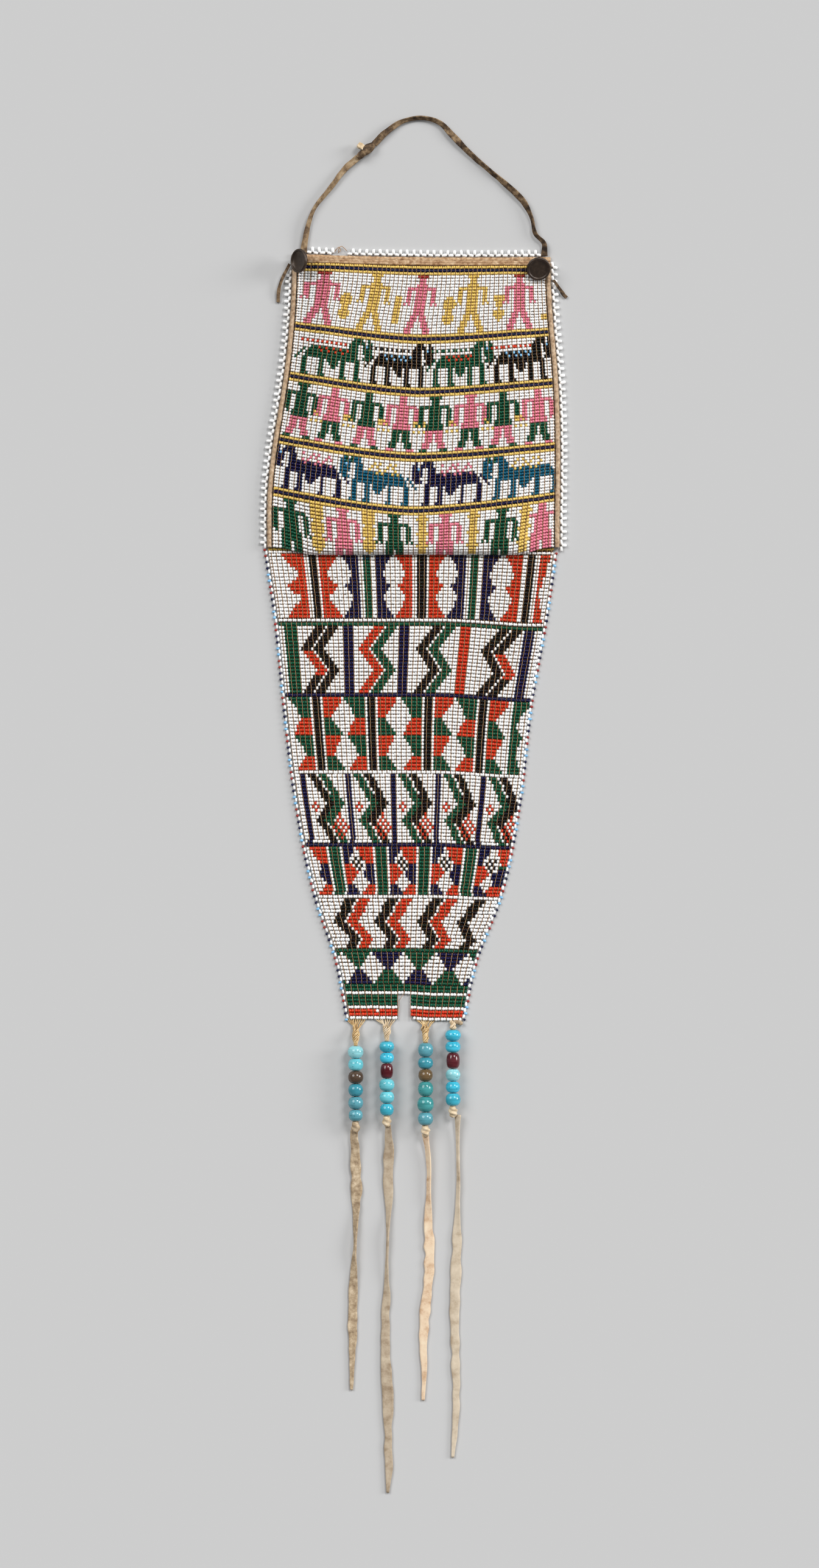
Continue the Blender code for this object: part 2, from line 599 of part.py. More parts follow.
def make_strand(number, strand):
    """One strand: warp threads gathered to a cord, six beads on a knotted core."""
    x, gathered, threads_x, threads_width, beads = strand
    top = FOOT_Y - gathered
    axis_z = max(diameter for diameter, _, _ in beads) / 2
    y = top
    for k, (diameter, length, colour) in enumerate(beads):
        make_bead(f"fringe_bead_{number}_{k + 1}", diameter, length, (x, y - length / 2, axis_z), colour)
        y -= length + SEAT_GAP
    knot_top = y
    stations = (
        (top, 1.0), (knot_top + 0.1, 1.0), (knot_top - 0.2, 0.75 * KNOT_DIAMETER / CORE_DIAMETER),
        (knot_top - 0.35 * KNOT_LENGTH, KNOT_DIAMETER / CORE_DIAMETER),
        (knot_top - 0.7 * KNOT_LENGTH, 0.92 * KNOT_DIAMETER / CORE_DIAMETER),
        (knot_top - KNOT_LENGTH, 0.5 * KNOT_DIAMETER / CORE_DIAMETER),
    )
    angle = (np.arange(BEAD_SIDES) + 0.5) * 2 * math.pi / BEAD_SIDES
    rings = []
    for place, scale in stations:
        r = CORE_DIAMETER / 2 * scale
        rings.append(np.stack([x + r * np.cos(angle), np.full(BEAD_SIDES, place), axis_z + r * np.sin(angle)], 1))
    rings_mesh(f"fringe_thong_{number}", rings, "hide")

    start = FOOT_Y - SEAT_GAP
    end = top + SEAT_GAP
    spread = start - THREADS_SPREAD
    stages = (
        (start, threads_x, threads_width / 2, 0.45, 0.9, 0.16),
        ((start + spread) / 2, (threads_x * 2 + x) / 3, threads_width * 0.36, 0.75, 1.2, 0.14),
        (spread, (threads_x + x) / 2, CORD_DIAMETER * 0.55, CORD_DIAMETER * 0.4, 2.2, 0.08),
        ((spread + end) / 2, x, CORD_DIAMETER * 0.5, CORD_DIAMETER * 0.48, (axis_z + 2.6) / 2, 0.05),
        (end, x, CORD_DIAMETER * 0.42, CORD_DIAMETER * 0.42, axis_z, 0.03),
    )
    around = 12
    angle = np.arange(around) * 2 * math.pi / around
    ripple = np.where(np.arange(around) % 2, 1.0, 0.0)
    rings = []
    for place, middle, half_width, half_height, z, depth in stages:
        shrink = 1 - depth * ripple
        rings.append(np.stack([
            middle + half_width * np.cos(angle) * shrink, np.full(around, place),
            z + half_height * np.sin(angle) * shrink], 1))
    rings_mesh(f"warp_threads_{number}", rings, "fibre")
    return knot_top - KNOT_LENGTH


def thong(name, route, width, thickness, colour, count):
    """A flat thong: a ribbon read from a smooth curve through its route's points."""
    route = np.array(route)
    steps = np.linalg.norm(np.diff(route[:, :3], axis=0), axis=1)
    travelled = np.concatenate([[0.0], np.cumsum(steps)])
    read = smooth_through(travelled, route, np.linspace(0.0, travelled[-1], count))
    return ribbon(name, read[:, :3], width, thickness, colour, read[:, 3], read[:, 4])


def make_thongs(strand_ends):
    """The strap's two runs and their knot, the ties behind the buttons and the streamers."""
    thong("strap_left", STRAP_LEFT, STRAP_WIDTH, STRAP_THICKNESS, "hide", 9)
    thong("strap_right", STRAP_RIGHT, STRAP_WIDTH, STRAP_THICKNESS, "hide", 16)
    thong("tie_left", TIE_LEFT, TIE_WIDTH, TIE_THICKNESS, "hide", 5)
    thong("tie_right", TIE_RIGHT, TIE_WIDTH, TIE_THICKNESS, "hide", 4)
    for number, ((colour, shape, length), end) in enumerate(zip(STREAMERS, strand_ends), 1):
        start = end - SEAT_GAP
        y = np.linspace(start, start - length, len(shape))
        route = [(x, place, z, scale, turn) for (x, z, scale, turn), place in zip(shape, y)]
        thong(f"streamer_{number}", route, STREAMER_WIDTH, STREAMER_THICKNESS, colour, len(shape))


def make_strap_knot():
    """The knot that joins the strap's two runs, with one cut end standing out of it."""
    shape = bmesh.new()
    bmesh.ops.create_icosphere(shape, subdivisions=2, radius=1.0)
    heading = math.atan2(STRAP_RIGHT[0][1] - STRAP_LEFT[-1][1], STRAP_RIGHT[0][0] - STRAP_LEFT[-1][0])
    length = math.dist(STRAP_RIGHT[0][:2], STRAP_LEFT[-1][:2]) / 2 - SEAT_GAP
    bmesh.ops.scale(shape, vec=(length, 2.9, 2.6), verts=shape.verts)
    for vert in shape.verts:
        # A turn of the thong round the middle of the knot.
        vert.co.yz *= 1 + 0.12 * math.cos(vert.co.x * 2.2)
    bmesh.ops.rotate(shape, matrix=Matrix.Rotation(heading, 3, "Z"), verts=shape.verts)
    centre = (Vector(STRAP_LEFT[-1][:3]) + Vector(STRAP_RIGHT[0][:3])) / 2
    centre.z = 2.6 * 1.12 + 0.1
    bmesh.ops.translate(shape, vec=centre, verts=shape.verts)
    bmesh.ops.scale(shape, vec=(MM, MM, MM), verts=shape.verts)
    mesh = bpy.data.meshes.new("strap_knot")
    shape.to_mesh(mesh)
    shape.free()
    mesh.shade_smooth()
    knot = add_object("strap_knot", mesh, "hide")

    stub = bmesh.new()
    bmesh.ops.create_cone(stub, cap_ends=True, segments=8, radius1=1.5 * MM, radius2=1.7 * MM, depth=6 * MM)
    stub_mesh = bpy.data.meshes.new("stub_cutter")
    stub.to_mesh(stub_mesh)
    stub.free()
    cutter = bpy.data.objects.new("stub_cutter", stub_mesh)
    helpers.objects.link(cutter)
    cutter.location = (centre + Vector((-2.6, 2.0, 0.0))) * MM
    cutter.rotation_euler = (math.radians(90), 0, math.radians(50))
    cutter.hide_render = True
    cutter.display_type = "WIRE"
    union = knot.modifiers.new("cut_end", "BOOLEAN")
    union.operation = "UNION"
    union.object = cutter


for old in list(bpy.data.objects):
    bpy.data.objects.remove(old)
bag = bpy.data.collections.new("beaded_bag")
helpers = bpy.data.collections.new("cutters")
bpy.context.scene.collection.children.link(bag)
bpy.context.scene.collection.children.link(helpers)

make_pouch_walls()
make_tail()
make_hems()
make_bindings()
make_edgings()
make_buttons()
ends = [make_strand(number, strand) for number, strand in enumerate(STRANDS, 1)]
make_thongs(ends)
make_strap_knot()
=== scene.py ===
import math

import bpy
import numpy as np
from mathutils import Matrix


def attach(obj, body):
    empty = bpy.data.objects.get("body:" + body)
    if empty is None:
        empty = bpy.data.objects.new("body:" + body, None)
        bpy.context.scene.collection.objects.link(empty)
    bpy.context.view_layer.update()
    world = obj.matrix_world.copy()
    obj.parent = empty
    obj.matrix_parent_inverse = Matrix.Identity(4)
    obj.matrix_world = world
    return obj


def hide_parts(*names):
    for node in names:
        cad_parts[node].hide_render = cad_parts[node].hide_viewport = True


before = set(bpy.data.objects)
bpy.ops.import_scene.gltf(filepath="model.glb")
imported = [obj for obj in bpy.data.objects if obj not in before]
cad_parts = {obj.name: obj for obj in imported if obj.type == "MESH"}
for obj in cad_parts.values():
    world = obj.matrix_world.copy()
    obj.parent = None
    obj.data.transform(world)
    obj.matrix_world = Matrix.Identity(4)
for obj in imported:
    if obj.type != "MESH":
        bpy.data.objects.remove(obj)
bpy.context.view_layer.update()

# %% [markdown]
# # A woven bead bag
# The bag is an open pouch of glass seed beads with a long woven tail under it. Large strung
# beads and hide streamers hang from the tail's foot. It lies flat on its back, so up in the
# photo is +Y and the front faces +Z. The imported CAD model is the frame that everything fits.

MM = 0.001
PHOTO_HEIGHT = 2576  # pixels
MM_PER_PIXEL = 0.4
UP = np.array([0.0, 0.0, 1.0])


def srgb(red, green, blue):
    """Turn screen values from 0 to 255 into the linear light that a shader takes."""
    value = np.array([red, green, blue]) / 255.0
    return np.where(value <= 0.04045, value / 12.92, ((value + 0.055) / 1.055) ** 2.4)


def smoothstep(value):
    """Rise from 0 to 1 with level ends: 3 v squared less 2 v cubed."""
    value = np.clip(value, 0.0, 1.0)
    return value * value * (3.0 - 2.0 * value)


def smooth_through(knots, values, at):
    """Read a cubic Hermite curve through values at knots, its slopes taken from its neighbours."""
    knots = np.asarray(knots, float)
    values = np.asarray(values, float)
    slopes = np.gradient(values, knots, axis=0)
    at = np.atleast_1d(np.asarray(at, float))
    index = np.clip(np.searchsorted(knots, at, side="right") - 1, 0, len(knots) - 2)
    shape = (-1,) + (1,) * (values.ndim - 1)
    span = (knots[index + 1] - knots[index]).reshape(shape)
    t = (at - knots[index]).reshape(shape) / span
    return (
        (2 * t**3 - 3 * t**2 + 1) * values[index]
        + (t**3 - 2 * t**2 + t) * span * slopes[index]
        + (3 * t**2 - 2 * t**3) * values[index + 1]
        + (t**3 - t**2) * span * slopes[index + 1]
    )


def unit(vectors):
    """Each vector divided by its own length."""
    return vectors / np.linalg.norm(vectors, axis=-1, keepdims=True)


# %% [markdown]
# ## The camera
# The photo looks straight down on the bag, so the camera stands above it. A long lens from
# three metres keeps the sides from spreading, as a copy stand does.

# %% Camera
CAMERA_HEIGHT = 3.0
FRAME_CENTRE = (-3.52, -62.0)  # mm
camera_data = bpy.data.cameras.new("copy_stand_camera")
camera_data.sensor_fit = "VERTICAL"
camera_data.sensor_height = 36.0
camera_data.lens = 36.0 * CAMERA_HEIGHT / (PHOTO_HEIGHT * MM_PER_PIXEL * MM)
camera_data.clip_end = 50.0
camera = bpy.data.objects.new("copy_stand_camera", camera_data)
camera.location = (FRAME_CENTRE[0] * MM, FRAME_CENTRE[1] * MM, CAMERA_HEIGHT)
bpy.context.scene.collection.objects.link(camera)
bpy.context.scene.camera = camera
print("lens", round(camera_data.lens, 2), "mm")

# %% [markdown]
# ## Shared effects for the finishes
# Hide, fibre and metal all need soft blotches and a fine grain. Each effect is a node group with
# its own inputs, built once and placed in every material that wants it.


# %% Node groups
def add_node(tree, kind, values=(), **settings):
    """A shader node with its settings and the values of its inputs."""
    node = tree.nodes.new(kind)
    for name, setting in settings.items():
        setattr(node, name, setting)
    for label, value in dict(values).items():
        node.inputs[label].default_value = value
    return node


def noise_group(name, inputs, output, detail, roughness):
    """A node group that starts as a noise over the object's own space. Returns the group, its two
    end nodes and the noise's height."""
    group = bpy.data.node_groups.new(name, "ShaderNodeTree")
    for label, value in inputs:
        socket = group.interface.new_socket(label, in_out="INPUT", socket_type="NodeSocketFloat")
        socket.default_value = value
    group.interface.new_socket(output, in_out="OUTPUT", socket_type="NodeSocketFloat")
    start, end = add_node(group, "NodeGroupInput"), add_node(group, "NodeGroupOutput")
    place = add_node(group, "ShaderNodeTexCoord")
    noise = add_node(group, "ShaderNodeTexNoise", {"Detail": detail, "Roughness": roughness})
    group.links.new(place.outputs["Object"], noise.inputs["Vector"])
    group.links.new(start.outputs["Scale"], noise.inputs["Scale"])
    return group, start, end, noise.outputs["Fac"]


def make_blotch_group():
    """Soft blotches from 0 to 1: a noise of two sizes, stretched round its middle."""
    group, start, end, height = noise_group(
        "blotches", (("Scale", 200.0), ("Contrast", 1.6)), "Mask", 5.0, 0.62)
    shift = add_node(group, "ShaderNodeMath", {1: 0.5}, operation="SUBTRACT")
    stretch = add_node(group, "ShaderNodeMath", {2: 0.5}, operation="MULTIPLY_ADD", use_clamp=True)
    group.links.new(height, shift.inputs[0])
    group.links.new(shift.outputs[0], stretch.inputs[0])
    group.links.new(start.outputs["Contrast"], stretch.inputs[1])
    group.links.new(stretch.outputs[0], end.inputs["Mask"])
    return group


def make_grain_group():
    """Fine surface grain as a height: a quick noise with a slower one under it."""
    group, _, end, height = noise_group("grain", (("Scale", 2500.0),), "Height", 4.0, 0.7)
    group.links.new(height, end.inputs["Height"])
    return group


BLOTCHES = make_blotch_group()
GRAIN = make_grain_group()
print("groups", BLOTCHES.name, GRAIN.name)


# %% Materials from groups
def new_material(name, roughness, metallic=0.0, specular=0.5):
    """A Principled material with its node tree and its shader."""
    material = bpy.data.materials.new(name)
    material.use_nodes = True
    shader = material.node_tree.nodes["Principled BSDF"]
    shader.inputs["Roughness"].default_value = roughness
    shader.inputs["Metallic"].default_value = metallic
    shader.inputs["Specular IOR Level"].default_value = specular
    return material, material.node_tree, shader


def blotched(name, colours, scale, contrast=2.4, roughness=0.8, grain=2500.0, bump=0.4,
             depth=0.0002, metallic=0.0, specular=0.3):
    """A finish that drifts through its colours in blotches, with a fine grain as bump."""
    material, tree, shader = new_material(name, roughness, metallic, specular)
    blotches = add_node(tree, "ShaderNodeGroup", {"Scale": scale, "Contrast": contrast}, node_tree=BLOTCHES)
    ramp = add_node(tree, "ShaderNodeValToRGB")
    stops = ramp.color_ramp.elements
    while len(stops) < len(colours):
        stops.new(0.5)
    for k, colour in enumerate(colours):
        stops[k].position = k / (len(colours) - 1)
        stops[k].color = (*srgb(*colour), 1.0)
    tree.links.new(blotches.outputs["Mask"], ramp.inputs["Fac"])
    tree.links.new(ramp.outputs["Color"], shader.inputs["Base Color"])
    texture = add_node(tree, "ShaderNodeGroup", {"Scale": grain}, node_tree=GRAIN)
    relief = add_node(tree, "ShaderNodeBump", {"Strength": bump, "Distance": depth})
    tree.links.new(texture.outputs["Height"], relief.inputs["Height"])
    tree.links.new(relief.outputs["Normal"], shader.inputs["Normal"])
    return material


TONED_DOWN = 0.935  # hide and fibre as named looked a little light beside the photo


def toned(*colours):
    """Colours a little darker than they were named, as whole screen values."""
    return np.round(TONED_DOWN * np.array(colours))


strap_hide = blotched("stained_hide", ((40, 29, 20), (92, 72, 52), (146, 122, 92)), 210.0, 3.4)
light_strap_hide = blotched("light_stained_hide", ((86, 66, 48), (142, 118, 88), (170, 148, 118)),
                            210.0, 3.2)
tan_hide = blotched("smoked_hide", toned((148, 126, 100), (186, 168, 144), (206, 190, 166)), 160.0, 2.4)
grey_hide = blotched("grey_hide", toned((140, 118, 92), (184, 162, 132), (222, 202, 172)), 260.0, 2.8)
pale_hide = blotched("pale_grey_hide", toned((176, 156, 130), (212, 196, 172), (228, 212, 188)), 110.0)
cream_hide = blotched("cream_hide", toned((190, 148, 108), (234, 208, 176), (246, 226, 196)), 110.0, 2.6)
cream_cord = blotched("cream_cord", toned((178, 150, 112), (222, 200, 166), (240, 224, 198)), 300.0,
                      roughness=0.75)
gold_cord = blotched("gold_cord", toned((164, 124, 76), (214, 180, 126), (240, 216, 170)), 420.0, 2.6,
                     roughness=0.5)
BAST = {"roughness": 0.85, "grain": 3500.0, "bump": 0.7, "depth": 0.0003}
fibre = blotched("hem_fibre", toned((142, 100, 66), (196, 158, 120), (234, 206, 170)), 420.0, 2.6, **BAST)
thread = blotched("warp_thread", toned((136, 100, 66), (180, 140, 100), (208, 172, 132)), 600.0, 2.2)
binding_fibre = blotched("binding_fibre", ((136, 106, 80), (186, 158, 128), (214, 190, 162)), 420.0, 2.6,
                         **BAST)
# Near black weft: painted shade in the gaps between the beads, where thread and shadow show.
weft_and_gap_shade = blotched("weft_painted_gap_shade", ((30, 20, 13), (58, 40, 26), (84, 60, 40)), 600.0, 2.2, 0.9, specular=0.1)
print("materials", len(bpy.data.materials))

# %% [markdown]
# ## Pieces from arrays
# Every piece here is worked out as whole numpy arrays in millimetres and put into a mesh at
# once. A surface is a grid of rings; a cap closes each end.


# %% From arrays to pieces
ABOVE_TABLE = 0.05  # mm that soft pieces keep from the table


def add_piece(name, points, faces, material, body="bag", stands_for=(), slot=None):
    """Put points (millimetres) and faces into a smooth mesh that rides on a body."""
    mesh = bpy.data.meshes.new(name)
    mesh.from_pydata((points.reshape(-1, 3) * MM).tolist(), [], faces)
    mesh.polygons.foreach_set("use_smooth", np.full(len(mesh.polygons), True))
    mesh.materials.append(material)
    piece = bpy.data.objects.new(name, mesh)
    bpy.context.scene.collection.objects.link(piece)
    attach(piece, body)
    if stands_for:
        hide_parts(*stands_for)
    return piece


def ring_faces(levels, around, base=0, closed=False):
    """Four-sided faces between rings of points, with one many-sided cap at each end unless the
    rings close on themselves."""
    index = base + np.arange(levels * around).reshape(levels, around)
    upper = index if closed else index[:-1]
    lower = np.roll(index, -1, axis=0) if closed else index[1:]
    faces = np.stack([upper, np.roll(upper, -1, axis=1), np.roll(lower, -1, axis=1), lower], axis=-1)
    faces = faces.reshape(-1, 4).tolist()
    if not closed:
        faces += [index[0][::-1].tolist(), index[-1].tolist()]
    return faces


def add_rings(name, rings, material, closed=False, **told):
    """Put a grid of rings into the scene."""
    return add_piece(name, rings, ring_faces(*rings.shape[:2], closed=closed), material, **told)


def travelled(points):
    """The length gone at each point of a run of points."""
    return np.concatenate([[0.0], np.cumsum(np.linalg.norm(np.diff(points, axis=0), axis=1))])


def circle(count):
    """Angles once round, in radians."""
    return np.linspace(0, 2 * math.pi, count, endpoint=False)


def level_frame(centre):
    """Unit vectors along a curve, level across it and square to both."""
    ahead = unit(np.gradient(centre, axis=0))
    level = unit(np.cross(UP, ahead))
    return ahead, level, np.cross(ahead, level)


def strip_rings(route, width, thickness, count, around=14, ragged=0.07, curl=0.35, seed=1):
    """A hide strip along a smooth curve through route (x, y, z, width share, turn).

    The section is a rounded box whose short way curls up a little at its two long edges. A
    turn of 90 degrees lies flat and 0 stands on edge. Ragged cutting makes the width wander.
    Returns the rings and their centres.
    """
    route = np.array(route, float)
    gone = travelled(route[:, :3])
    read = smooth_through(gone, route, np.linspace(0.0, gone[-1], count))
    centre = read[:, :3]
    ahead, level, raised = level_frame(centre)
    lean = np.radians(90.0 - read[:, 4])[:, None]
    wide = np.cos(lean) * level + np.sin(lean) * raised
    thick = np.cross(ahead, wide)
    random = np.random.default_rng(seed)
    knots = np.linspace(0, 1, max(8, count // 5))
    wander = smooth_through(knots, random.normal(0, ragged, (len(knots), 2)), np.linspace(0, 1, count))
    angle = circle(around)
    across = np.sign(np.cos(angle)) * np.abs(np.cos(angle)) ** 0.6
    above = np.sign(np.sin(angle)) * np.abs(np.sin(angle)) ** 0.8
    side = np.where(across[None, :] > 0, wander[:, :1], wander[:, 1:])
    reach = across[None, :] * (width / 2) * read[:, 3:4] * (1 + side)
    height = above[None, :] * thickness / 2 + curl * (across[None, :] ** 2 - 0.4) * thickness
    rings = centre[:, None, :] + reach[..., None] * wide[:, None, :] + height[..., None] * thick[:, None, :]
    rings[..., 2] = np.maximum(rings[..., 2], ABOVE_TABLE)
    return rings, centre


def route_length(points):
    """Length of a run of points, in metres."""
    return float(np.linalg.norm(np.diff(points, axis=0), axis=1).sum() * MM)


def declare_strip(name, route, width, thickness, count, material, node, slot, far_end,
                  with_pieces=(), **shape):
    """Make a hide strip in place of a node, and say its real length."""
    rings, centre = strip_rings(route, width, thickness, count, **shape)
    piece = add_rings(name, rings, material, stands_for=(node,), slot=slot)
    print(name, round(route_length(centre) * 1000, 1), "mm")
    return piece


# %% [markdown]
# ## The strap
# The strap is one hide strip in two runs, tied together by a knot near the top. It twists as it
# goes, so each point of its route also has a width share and a turn of its flat side. The
# points repeat the route of the solids in millimetres.

# %% Strap
STRAP_WIDTH, STRAP_THICKNESS = 4.2, 1.5
STRAP_LEFT = (
    (-73.2, 286.9, 1.4, 1.00, 90), (-71.0, 301.0, 2.1, 0.90, 60), (-66.8, 314.6, 2.3, 0.75, 30),
    (-55.2, 329.8, 2.3, 0.85, 60), (-45.2, 342.6, 2.0, 0.95, 90), (-37.4, 349.4, 2.2, 1.00, 80),
)
STRAP_RIGHT = (
    (-26.9, 358.2, 2.2, 1.00, 70), (-19.6, 365.2, 2.3, 1.00, 80), (-9.6, 372.6, 2.2, 0.80, 60),
    (4.0, 375.6, 2.4, 0.75, 40), (16.8, 372.0, 2.3, 0.85, 60), (24.8, 363.6, 1.9, 1.00, 90),
    (36.0, 352.4, 2.2, 0.90, 60), (49.2, 340.8, 2.4, 0.85, 40), (63.2, 328.8, 2.2, 0.95, 70),
    (72.0, 319.6, 2.3, 0.90, 60), (77.0, 309.0, 2.2, 0.65, 40), (79.4, 299.0, 2.3, 0.70, 60),
    (84.9, 293.0, 2.2, 0.80, 60), (84.9, 284.7, 1.4, 1.00, 90),
)


def knot_surface(start, end, radius, turns=1.5, seed=3):
    """A knot: a barrel between two points whose radius swells in diagonal wraps."""
    along = np.linspace(0, 1, 34)[:, None]
    angle = circle(28)[None, :]
    start, end = np.array(start, float), np.array(end, float)
    ahead = unit(end - start)
    level = unit(np.cross(UP, ahead))
    raised = np.cross(ahead, level)
    swell = np.sin(math.pi * np.clip(along, 0.02, 0.98)) ** 0.55
    wraps = 1 + 0.13 * np.cos(2 * angle + turns * 2 * math.pi * along)
    wraps += 0.05 * np.cos(3 * angle - 7 * along + seed)
    reach = radius * (0.35 + 0.65 * swell) * wraps
    rings = (start + along[..., None] * (end - start)
             + (reach * np.cos(angle))[..., None] * level + (reach * np.sin(angle))[..., None] * raised)
    rings[..., 2] = np.maximum(rings[..., 2], ABOVE_TABLE)
    return rings


strap_knot = add_rings("strap_knot_wraps", knot_surface((-37.6, 349.0, 3.1), (-26.2, 358.9, 2.9), 2.9),
                       strap_hide, stands_for=("strap_knot",), slot="hide")
CUT_END = ((-32.4, 354.0, 3.6, 0.75, 90), (-34.2, 355.4, 3.9, 0.9, 70), (-36.0, 356.6, 3.8, 1.0, 60),
           (-37.4, 357.4, 3.6, 0.9, 50))
add_rings("strap_cut_end", strip_rings(CUT_END, STRAP_WIDTH, 2 * STRAP_THICKNESS, 16, seed=4)[0], cream_cord)
declare_strip("strap_left_run", STRAP_LEFT, STRAP_WIDTH, STRAP_THICKNESS, 90, light_strap_hide,
              "strap_left", "hide", "knot", [strap_knot], seed=11)
declare_strip("strap_right_run", STRAP_RIGHT, STRAP_WIDTH, STRAP_THICKNESS, 190, strap_hide,
              "strap_right", "hide", "knot", seed=12)

# %% [markdown]
# ## The streamers
# A long thin hide strip hangs under the knot of each strand of large beads: one grey, one tan,
# one cream and one pale. They lie on the table and turn over here and there.

# %% Streamers
STREAMER_WIDTH, STREAMER_THICKNESS = 6.4, 1.4
SEAT_GAP = 0.3
STREAMERS = (
    (grey_hide, "pale_hide", -289.1, 170.9, (
        (-39.6, 4.0, 0.80, 60), (-39.0, 1.8, 1.00, 90), (-38.4, 1.0, 1.05, 90),
        (-38.6, 1.6, 0.70, 60), (-39.2, 2.4, 0.60, 20), (-40.2, 1.6, 0.80, 70),
        (-40.5, 0.9, 0.95, 90), (-41.0, 0.9, 0.90, 90), (-41.2, 0.9, 0.60, 90),
        (-41.6, 0.9, 0.30, 90))),
    (tan_hide, "pale_hide", -285.5, 242.1, (
        (-17.4, 4.0, 0.70, 60), (-17.2, 1.8, 1.00, 90), (-17.6, 1.0, 0.95, 90),
        (-17.3, 1.4, 0.70, 70), (-17.8, 2.4, 0.45, 20), (-18.4, 2.0, 0.40, 40),
        (-18.6, 1.2, 0.70, 80), (-19.2, 0.9, 0.90, 90), (-19.2, 0.9, 0.90, 90),
        (-18.4, 0.9, 1.00, 90), (-17.6, 0.9, 1.05, 90), (-17.6, 0.9, 0.80, 90),
        (-17.0, 0.9, 0.85, 90), (-17.8, 0.9, 0.30, 90))),
    (cream_hide, "cream_hide", -291.8, 175.0, (
        (6.8, 4.0, 0.80, 60), (9.2, 2.4, 0.65, 40), (9.2, 2.2, 0.60, 50),
        (8.8, 1.2, 0.90, 90), (9.8, 0.9, 1.00, 90), (8.6, 0.9, 0.95, 90),
        (6.6, 0.9, 1.00, 90), (5.6, 0.9, 0.90, 90), (6.2, 0.9, 0.55, 90),
        (5.3, 0.9, 0.30, 90))),
    (pale_hide, "pale_hide", -279.1, 225.3, (
        (28.2, 4.0, 0.70, 60), (28.2, 2.0, 0.45, 40), (28.6, 1.8, 0.45, 40),
        (28.2, 1.6, 0.55, 60), (27.8, 1.0, 0.95, 90), (26.8, 0.9, 1.05, 90),
        (26.2, 0.9, 1.00, 90), (26.4, 0.9, 0.90, 90), (26.8, 0.9, 0.85, 90),
        (27.2, 0.9, 0.80, 90), (26.4, 0.9, 0.65, 90), (24.8, 0.9, 0.30, 90))),
)
for number, (material, slot, start, length, shape) in enumerate(STREAMERS, 1):
    places = np.linspace(start, start - length, len(shape))
    route = [(x, y, z, share, turn) for (x, z, share, turn), y in zip(shape, places)]
    declare_strip(f"hide_streamer_{number}", route, STREAMER_WIDTH, STREAMER_THICKNESS, 170, material,
                  f"streamer_{number}", slot, "bare", seed=20 + number, ragged=0.09, curl=0.25)

# %% [markdown]
# ## The ties
# A short thong holds each button. They are too short to be free cords, so they are plain strips.

# %% Ties
TIES = {
    "tie_left": ((-82.2, 279.4, 2.6, 0.80, 90), (-85.8, 272.4, 3.0, 0.80, 90),
                 (-88.8, 265.2, 2.2, 0.80, 90), (-89.9, 254.4, 0.8, 1.00, 90)),
    "tie_right": ((91.0, 268.6, 4.6, 0.70, 90), (94.0, 264.4, 2.8, 0.80, 90),
                  (97.0, 260.4, 1.0, 0.90, 90), (99.6, 257.4, 0.8, 1.00, 90)),
}
TIE_WIDTH, TIE_THICKNESS = 2.4, 1.2
for node, route in TIES.items():
    rings, _ = strip_rings(route, TIE_WIDTH, TIE_THICKNESS, 40, seed=31, ragged=0.12)
    add_rings(f"{node}_thong", rings, strap_hide, stands_for=(node,), slot="hide")
print("ties", len(TIES))

# %% [markdown]
# ## The woven field of the pouch
# The front wall stands off the back one by the pouch's depth. It slopes down to both sides and
# turns under along the bottom. These are the formulas of the solid, so that beads lie on it.

# %% The pouch's surface
MOUTH_Y, POUCH_HEIGHT, FRONT_DROP, POUCH_DEPTH = 280.2, 186.8, 3.2, 6.2
SEAM_Y = MOUTH_Y - POUCH_HEIGHT
BELLY_ROLL, BELLY_OVERHANG = 8.0, 4.2
EDGE_Z = 3.2
# Two soft dents of the belly: x, y, radius and share of the height.
DENTS = ((-76.0, 104.0, 13.0, 0.55), (80.0, 107.0, 10.0, 0.4))


def pouch_span(y):
    """Left and right edge of the pouch's woven field at a height."""
    t = (MOUTH_Y - np.asarray(y, float)) / POUCH_HEIGHT
    width = 162.5 + 22.5 * smoothstep(t / 0.85)
    centre = 4.3 - 5.3 * smoothstep((t - 0.3) / 0.6)
    return centre - width / 2, centre + width / 2


def lip_rise(u):
    """How far the mouth's edge curves up towards its two ends."""
    return 2.8 * (1 - u) ** 3 + 0.5 * u**3


def front_wall(u, s):
    """Middle of the front wall, u across and s down: level, then a quarter turn down the roll."""
    lip = MOUTH_Y - FRONT_DROP + lip_rise(u)
    rise = smoothstep(np.minimum(u, 1 - u) / 0.15)
    straight = lip - (SEAM_Y - BELLY_OVERHANG * rise) - BELLY_ROLL
    travelled = s * (straight + BELLY_ROLL * math.pi / 2)
    turn = np.clip((travelled - straight) / BELLY_ROLL, 0.0, math.pi / 2)
    y = lip - np.minimum(travelled, straight) - BELLY_ROLL * np.sin(turn)
    left, right = pouch_span(y)
    x = left + u * (right - left)
    dent = sum(share * np.exp(-((x - dx) ** 2 + (y - dy) ** 2) / radius**2)
               for dx, dy, radius, share in DENTS)
    low = EDGE_Z - 0.95 * rise * (turn > 0) * np.sin(turn)
    z = low + (POUCH_DEPTH + EDGE_Z - low) * rise * np.cos(turn) * (1 - dent)
    return np.stack([x, y, z], axis=-1)


# %% Where each bead of the front lies
POUCH_ROWS, POUCH_COLUMNS = 95, 108
STRIPE_ROWS = np.array([1.0, 23.0, 40.0, 61.0, 78.0])
STRIPE_LEFT = np.array([277.6, 238.8, 206.0, 164.4, 130.4])
STRIPE_MIDDLE = np.array([274.2, 229.2, 194.4, 152.0, 116.6])
STRIPE_RIGHT = np.array([275.0, 234.8, 201.2, 159.4, 126.6])


